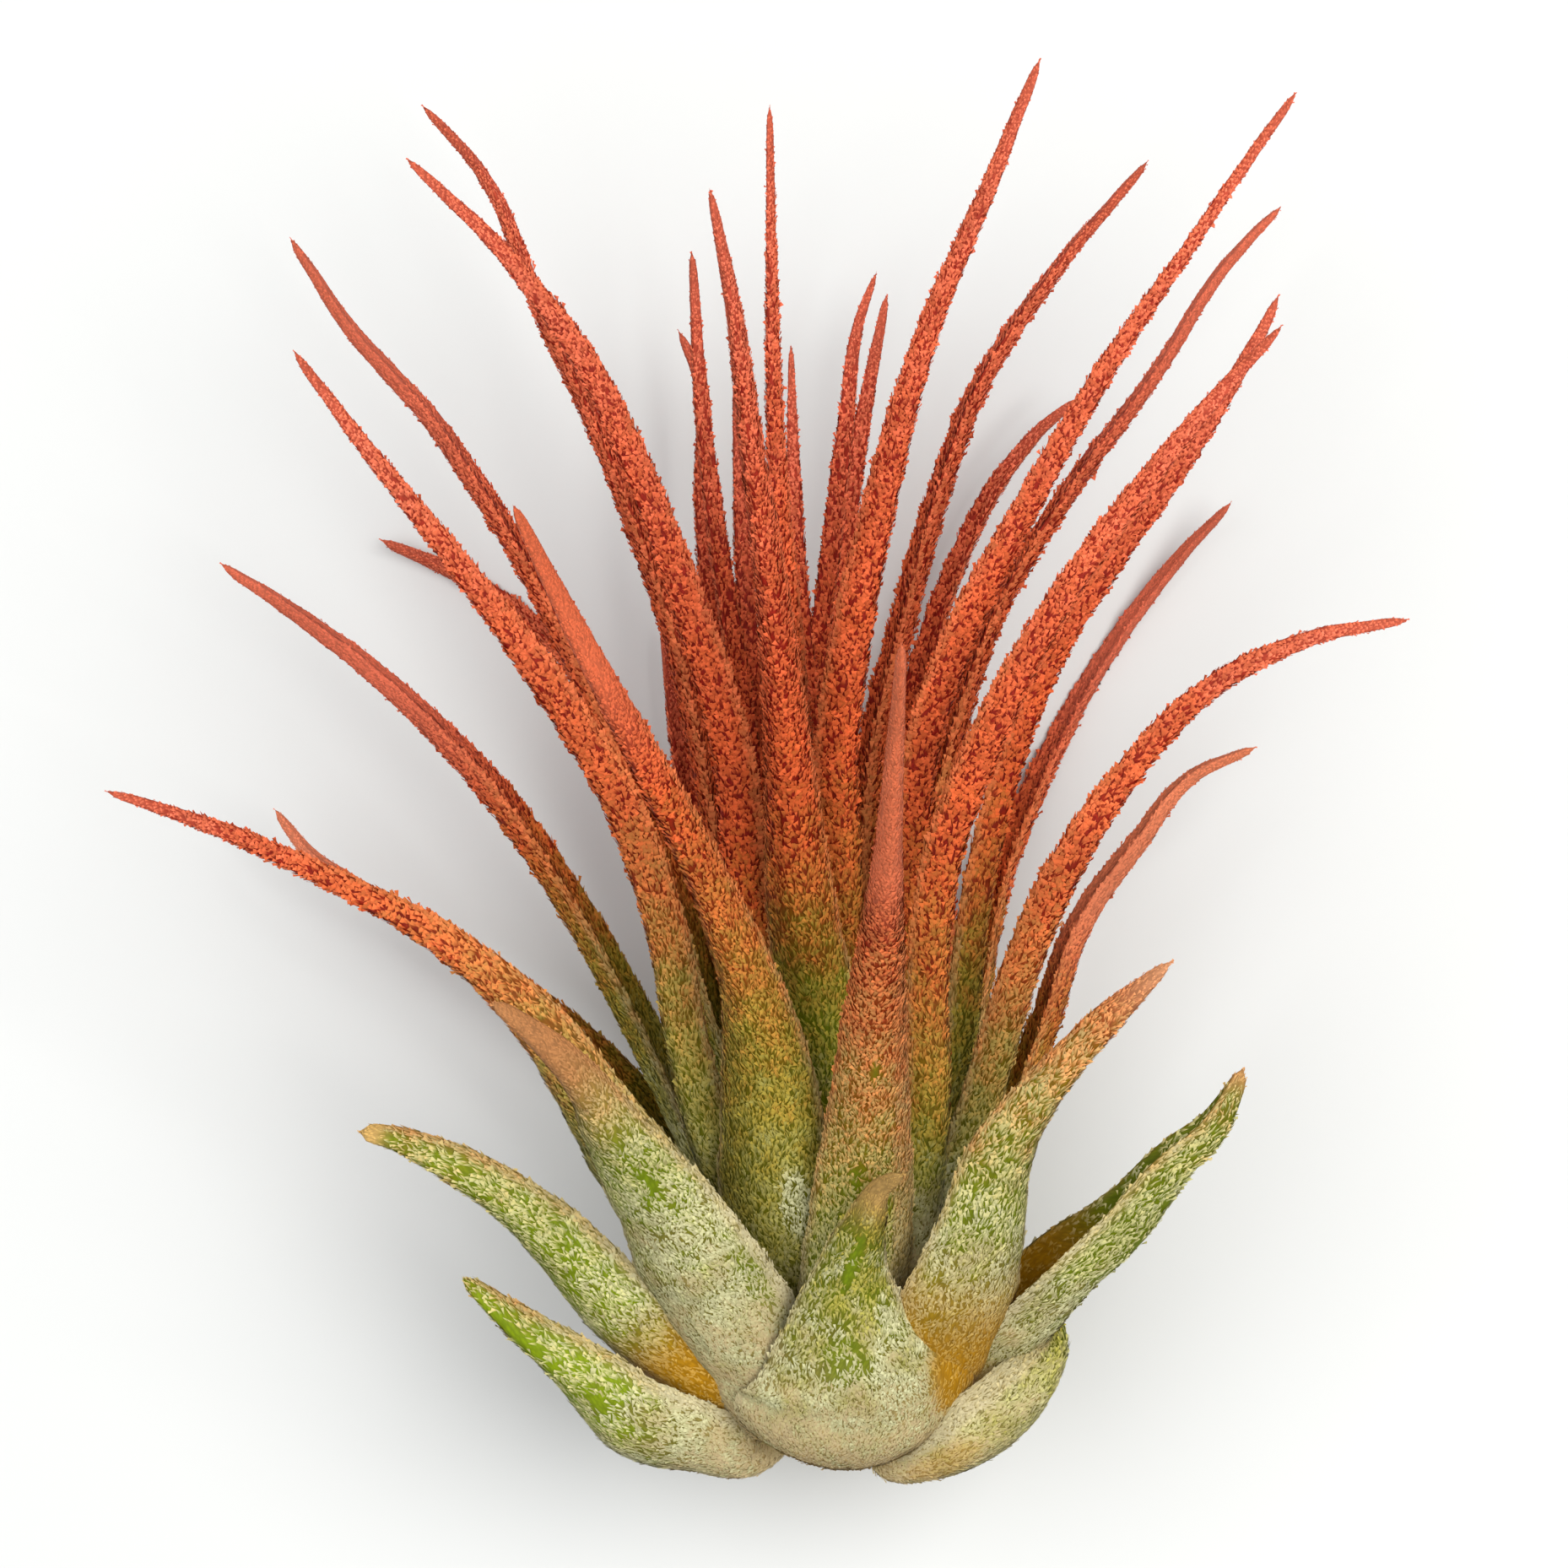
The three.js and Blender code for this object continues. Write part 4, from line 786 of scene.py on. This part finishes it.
def flake_maps(flakes):
    """The same for the flakes. Each has a cell of its own in the image's other half."""
    count = len(flakes["own"])
    columns = max(int(np.ceil(np.sqrt(count / 2))), 1)
    rows = int(np.ceil(count / columns))
    n = np.arange(count)
    corner = np.array([[0.1, 0.1], [0.9, 0.1], [0.5, 0.9]])
    cell = np.stack([n % columns, n // columns], axis=1)[:, None, :] + corner
    image = np.stack([0.5 + 0.49 * cell[..., 0] / columns, 0.01 + 0.98 * cell[..., 1] / rows], axis=2)
    grain = np.stack([flakes["v"] * 3, flakes["distance"]], axis=1)
    return grain[:, None, :].repeat(3, 1).reshape(-1, 2), image.reshape(-1, 2)


def make_mesh(name, points, quads, triangles, fields, maps):
    """A mesh of smooth quads and flat triangles."""
    mesh = bpy.data.meshes.new(name)
    mesh.vertices.add(len(points))
    mesh.vertices.foreach_set("co", (points * MM).astype(np.float32).ravel())
    mesh.loops.add(quads.size + triangles.size)
    corners = np.concatenate([quads.ravel(), triangles.ravel()])
    mesh.loops.foreach_set("vertex_index", corners.astype(np.int32))
    mesh.polygons.add(len(quads) + len(triangles))
    starts = np.concatenate([np.arange(len(quads)) * 4, quads.size + np.arange(len(triangles)) * 3])
    mesh.polygons.foreach_set("loop_start", starts.astype(np.int32))
    smooth = np.arange(len(starts)) < len(quads)
    mesh.polygons.foreach_set("use_smooth", smooth)
    for field, values in fields.items():
        layer = mesh.attributes.new(field, "FLOAT", "POINT")
        layer.data.foreach_set("value", values.astype(np.float32))
    for label, values in maps.items():
        layer = mesh.uv_layers.new(name=label)
        layer.uv.foreach_set("vector", values.astype(np.float32).ravel())
    mesh.update()
    mesh.validate()
    piece = bpy.data.objects.new(name, mesh)
    bpy.context.scene.collection.objects.link(piece)
    return piece


def build_leaf(name, leaf, look, rng):
    skin = leaf_grid(leaf, rng)
    flakes = place_scales(skin, look, rng)
    rings = len(skin["grid"])
    skin_points = skin["grid"].reshape(-1, 3)
    flake_points = flakes["corners"].reshape(-1, 3)
    count = len(flakes["own"])
    own = skin["own"].repeat(AROUND)
    v = np.tile(skin["v"], rings)
    side = np.tile(skin["side"], rings)
    on_skin = {
        **fields_at(look, own, v, side),
        "scale": np.zeros(len(own)),
        "shade": np.full(len(own), 0.5),
        "lifted": np.zeros(len(own)),
    }
    on_flakes = {
        **fields_at(look, flakes["own"], flakes["v"], flakes["side"]),
        "scale": np.ones(count),
        "shade": flakes["shade"],
    }
    on_flakes = {key: values.repeat(3) for key, values in on_flakes.items()}
    on_flakes["lifted"] = flakes["lifted"].ravel()
    fields = {key: np.concatenate([on_skin[key], on_flakes[key]]) for key in on_skin}
    skin_grain, skin_image = skin_maps(skin)
    flake_grain, flake_image = flake_maps(flakes)
    maps = {"grain": np.vstack([skin_grain, flake_grain]), "OFBake": np.vstack([skin_image, flake_image])}
    triangles = len(skin_points) + np.arange(count * 3).reshape(-1, 3)
    piece = make_mesh(f"fine_{name}", np.vstack([skin_points, flake_points]), skin_faces(rings), triangles,
                      fields, maps)
    piece.data.materials.append(leaf_material(name, look, rng.uniform(0, 50)))
    return piece


# Materials
class Nodes:
    """A material's nodes, made and linked in short lines."""

    def __init__(self, name):
        self.material = bpy.data.materials.new(name)
        self.material.use_nodes = True
        self.tree = self.material.node_tree
        self.shader = self.tree.nodes["Principled BSDF"]

    def put(self, socket, value):
        if isinstance(value, bpy.types.NodeSocket):
            self.tree.links.new(value, socket)
        else:
            socket.default_value = value

    def add(self, kind, settings=None, **inputs):
        node = self.tree.nodes.new(kind)
        for key, value in (settings or {}).items():
            setattr(node, key, value)
        for key, value in inputs.items():
            self.put(node.inputs[int(key[1:]) if key[0] == "i" and key[1:].isdigit() else key], value)
        return node

    def field(self, name):
        return self.add("ShaderNodeAttribute", {"attribute_name": name}).outputs["Fac"]

    def math(self, operation, a, b=0.0):
        return self.add("ShaderNodeMath", {"operation": operation}, i0=a, i1=b).outputs[0]

    def span(self, value, low, high, to_low=0.0, to_high=1.0, smooth=False):
        kind = "SMOOTHSTEP" if smooth else "LINEAR"
        node = self.add("ShaderNodeMapRange", {"interpolation_type": kind}, i0=value, i1=low, i2=high,
                        i3=to_low, i4=to_high)
        return node.outputs[0]

    def mix(self, share, a, b, blend="MIX"):
        node = self.add("ShaderNodeMix", {"data_type": "RGBA", "blend_type": blend})
        self.put(node.inputs[0], share)
        self.put(node.inputs[6], a)
        self.put(node.inputs[7], b)
        return node.outputs[2]

    def ramp(self, value, stops):
        node = self.add("ShaderNodeValToRGB", None, Fac=value)
        elements = node.color_ramp.elements
        while len(elements) < len(stops):
            elements.new(1.0)
        for element, (place, colour) in zip(elements, stops):
            element.position = place
            element.color = linear(colour)
        return node.outputs["Color"]

    def noise(self, where, scale, detail=2.0):
        return self.add("ShaderNodeTexNoise", None, Vector=where, Scale=scale, Detail=detail).outputs["Fac"]

    def dim(self, colour, factor):
        grey = self.add("ShaderNodeCombineColor", None, Red=factor, Green=factor, Blue=factor).outputs[0]
        return self.mix(1.0, colour, grey, "MULTIPLY")


def leaf_material(name, look, offset):
    m = Nodes(f"{name}_skin")
    place = m.add("ShaderNodeTexCoord").outputs["Object"]
    place = m.add("ShaderNodeVectorMath", {"operation": "ADD"}, i0=place, i1=(offset * MM,) * 3).outputs[0]
    grain = m.add("ShaderNodeUVMap", {"uv_map": "grain"}).outputs["UV"]
    scale = m.field("scale")
    rim_and_lit_side = m.field("rim_and_lit_side")
    shade = m.field("shade")

    # Stage of ripeness, with an uneven edge between one colour and the next
    blotches = m.math("SUBTRACT", m.noise(place, BLOTCHES_PER_METRE), 0.5)
    stray = m.math("MULTIPLY", m.math("SUBTRACT", shade, 0.5), STRAY_STAGE)
    stray = m.math("ADD", m.math("MULTIPLY", blotches, BLOTCH_STRENGTH), stray)
    stage = m.math("ADD", m.field("stage"), stray)
    skin = m.ramp(stage, between(SKIN_COLOURS, PINK_SKIN_COLOURS, look["pink"]))
    felt = m.ramp(stage, between(SCALE_COLOURS, PINK_SCALE_COLOURS, look["pink"]))

    # Green middle, silver sheath, and pale rims, which on some leaves reach far in as a painted highlight
    # on the lit side
    rising = m.span(stage, 0.10, 0.20, smooth=True)
    middle = m.math("MULTIPLY", rising, m.span(stage, 0.20, 0.46, 1.0, 0.0, True))
    fresh = m.math("MULTIPLY", middle, look["fresh"])
    green = [a + (b - a) * look["lime"] for a, b in zip(FRESH_SKIN, LIME_SKIN)]
    skin = m.mix(fresh, skin, linear(green))
    fresh_felt = [a + (b - a) * look["pink"] for a, b in zip(FRESH_SCALE, PALE_FRESH_SCALE)]
    felt = m.mix(m.math("MULTIPLY", fresh, FRESH_FELT), felt, linear(fresh_felt))
    low = m.math("MULTIPLY", m.span(stage, 0.02, 0.08), m.span(stage, 0.14, 0.26, 1.0, 0.0, True))
    low = m.math("MULTIPLY", low, look["silver"])
    patches = m.span(m.noise(place, WHITE_PATCHES_PER_METRE, 3.0), 0.38, 0.60)
    white = m.math("MAXIMUM", m.math("MULTIPLY", low, patches), m.field("white"))
    felt = m.mix(white, felt, linear(SILVER_SCALE))
    # Pale rims: partly the real pale fringe of scales, partly a painted highlight on the lit side of some
    # leaves
    pale_rim_and_lit_side = m.math("MULTIPLY", rim_and_lit_side, RIM_AND_LIT_SIDE_STRENGTH)
    skin = m.mix(pale_rim_and_lit_side, skin, m.ramp(stage, RIM_AND_LIT_SIDE_SKIN_COLOURS))
    felt = m.mix(pale_rim_and_lit_side, felt, m.ramp(stage, RIM_AND_LIT_SIDE_SCALE_COLOURS))

    # Bare green spots, a golden foot, and a smooth tip
    bare_green = [a + (b - a) * look["lime"] for a, b in zip(BARE_GREEN, LIME_SKIN)]
    skin = m.mix(m.field("bare"), skin, linear(bare_green))
    golden = m.field("golden")
    skin = m.mix(golden, skin, linear(OCHRE_SKIN))
    felt = m.mix(m.math("MULTIPLY", golden, GOLDEN_FELT), felt, linear(OCHRE_SCALE))
    soft = m.field("soft")
    skin = m.mix(soft, skin, linear([part * SOFT_SKIN_SHADE for part in look["tip"]]))
    felt = m.mix(soft, felt, linear(look["tip"]))

    # Fine grain in the skin, uneven brightness from flake to flake, and painted shade from each flake's
    # root to its lit tip
    stretched = m.add("ShaderNodeMapping", None, Vector=grain, Scale=GRAIN_CELLS).outputs[0]
    cells = m.add("ShaderNodeTexVoronoi", {"feature": "F1"}, Vector=stretched, Scale=1.0)
    cells = cells.outputs["Distance"]
    skin = m.dim(skin, m.span(cells, 0.15, 0.75, 1.12, 0.78))
    swing = m.math("MULTIPLY", m.span(stage, 0.05, 0.55, 0.22, 0.50), m.span(soft, 0.0, 1.0, 1.0, 0.3))
    felt = m.dim(felt, m.math("ADD", m.math("MULTIPLY", m.math("SUBTRACT", shade, 0.5), swing), 1.0))
    # Painted shade: each flake takes the skin's darker colour at its root and its own colour at its lifted
    # tip
    rooted = m.math("MAXIMUM", m.span(stage, 0.05, 0.25, 0.85, 0.14), m.math("MULTIPLY", soft, 0.8))
    felt = m.mix(m.math("MAXIMUM", m.span(m.field("lifted"), 0.0, 0.7), rooted), skin, felt)
    tone = m.span(m.noise(place, TONES_PER_METRE), 0.3, 0.7, 0.9, 1.08)
    colour = m.dim(m.mix(scale, skin, felt), tone)

    # Dark red pits in the red coat: painted shade in the gaps between scales, over the dark red skin that
    # shows there
    spots = m.add("ShaderNodeTexVoronoi", {"feature": "F1"}, Vector=place, Scale=PITS_PER_METRE)
    chance = m.add("ShaderNodeSeparateColor", None, Color=spots.outputs["Color"]).outputs[0]
    closed = m.span(m.noise(place, PIT_FIELDS_PER_METRE), 0.35, 0.65, 0.45, 0.95)
    open_pit = m.math("GREATER_THAN", chance, closed)
    away = spots.outputs["Distance"]
    off_rim = m.math("SUBTRACT", 1.0, m.math("MULTIPLY", rim_and_lit_side, 0.7))
    red = m.math("MULTIPLY", m.span(stage, 0.42, 0.58), off_rim)
    red = m.math("MULTIPLY", m.math("MULTIPLY", red, open_pit), m.math("SUBTRACT", 1.0, soft))
    ring = m.math("MULTIPLY", m.span(away, 0.30, 0.44), m.span(away, 0.44, 0.62, 1.0, 0.0))
    colour = m.dim(colour, m.math("ADD", m.math("MULTIPLY", m.math("MULTIPLY", ring, red), PIT_RING), 1.0))
    pit_shade = m.math("MULTIPLY", m.span(away, 0.28, 0.42, 1.0, 0.0, True), m.math("MULTIPLY", red, PIT_DEPTH))
    m.put(m.shader.inputs["Base Color"], m.mix(pit_shade, colour, linear(PIT_SHADE_RED)))
    m.put(m.shader.inputs["Roughness"], m.span(scale, 0.0, 1.0, SKIN_ROUGHNESS, SCALE_ROUGHNESS))
    m.shader.inputs["Specular IOR Level"].default_value = LEAF_SPECULAR
    bump = m.add("ShaderNodeBump", None, Height=cells, Strength=0.3, Distance=GRAIN_DEPTH)
    m.put(m.shader.inputs["Normal"], bump.outputs["Normal"])
    return m.material


def stem_material():
    m = Nodes("stem_bark")
    place = m.add("ShaderNodeTexCoord").outputs["Object"]
    fibres = m.noise(place, 900.0, 4.0)
    bark = m.ramp(fibres, [(0.3, STEM_BARK), (0.7, STEM_CUT)])
    m.put(m.shader.inputs["Base Color"], bark)
    m.shader.inputs["Roughness"].default_value = BARK_ROUGHNESS
    bump = m.add("ShaderNodeBump", None, Height=fibres, Strength=0.6, Distance=BARK_DEPTH)
    m.put(m.shader.inputs["Normal"], bump.outputs["Normal"])
    return m.material


# Stage
def build_floor():
    bpy.ops.mesh.primitive_plane_add(size=FLOOR_SIZE, location=(0, 0, REST_HEIGHT * MM))
    floor = bpy.context.object
    floor.name = "floor"
    m = Nodes("floor_paper")
    m.shader.inputs["Base Color"].default_value = (*FLOOR_COLOUR, 1.0)
    m.shader.inputs["Roughness"].default_value = FLOOR_ROUGHNESS
    floor.data.materials.append(m.material)


def add_light(name, place, size, power, colour):
    light = bpy.data.lights.new(name, "AREA")
    light.shape = "DISK"
    light.size = size
    light.energy = power
    light.color = colour
    lamp = bpy.data.objects.new(name, light)
    lamp.location = place
    lamp.rotation_euler = (-Vector(place)).to_track_quat("-Z", "Y").to_euler()
    bpy.context.scene.collection.objects.link(lamp)


def build_lights():
    add_light("key", *KEY_LIGHT)
    add_light("fill", *FILL_LIGHT)
    world = bpy.data.worlds.new("studio")
    world.use_nodes = True
    world.node_tree.nodes["Background"].inputs["Color"].default_value = (1.0, 1.0, 1.0, 1.0)
    world.node_tree.nodes["Background"].inputs["Strength"].default_value = STUDIO_LIGHT
    bpy.context.scene.world = world


def build_camera():
    data = bpy.data.cameras.new("camera")
    data.lens = CAMERA_LENS
    data.sensor_width = CAMERA_SENSOR
    camera = bpy.data.objects.new("camera", data)
    camera.location = [value * MM for value in CAMERA_PLACE]
    bpy.context.scene.collection.objects.link(camera)
    bpy.context.scene.camera = camera
    bpy.context.scene.view_settings.view_transform = "Standard"


def build_plant():
    count = sum(len(leaves) for leaves in LEAVES.values())
    order = 0
    for ring, leaves in LEAVES.items():
        for index, row in enumerate(leaves, 1):
            name = f"{ring}_leaf_{index}"
            look = {**PLAIN_LOOK, **RING_LOOKS[ring], **LEAF_LOOKS.get(name, {})}
            rng = np.random.default_rng(SEED + order)
            leaf = grow_leaf(row, order, count, ring in BURIED_RINGS)
            piece = build_leaf(name, leaf, look, rng)
            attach(piece, "root")
            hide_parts(name)
            order += 1
    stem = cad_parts["stem"]
    bark = stem_material()
    stem.data.materials.clear()
    stem.data.materials.append(bark)


build_camera()
build_floor()
build_lights()
build_plant()
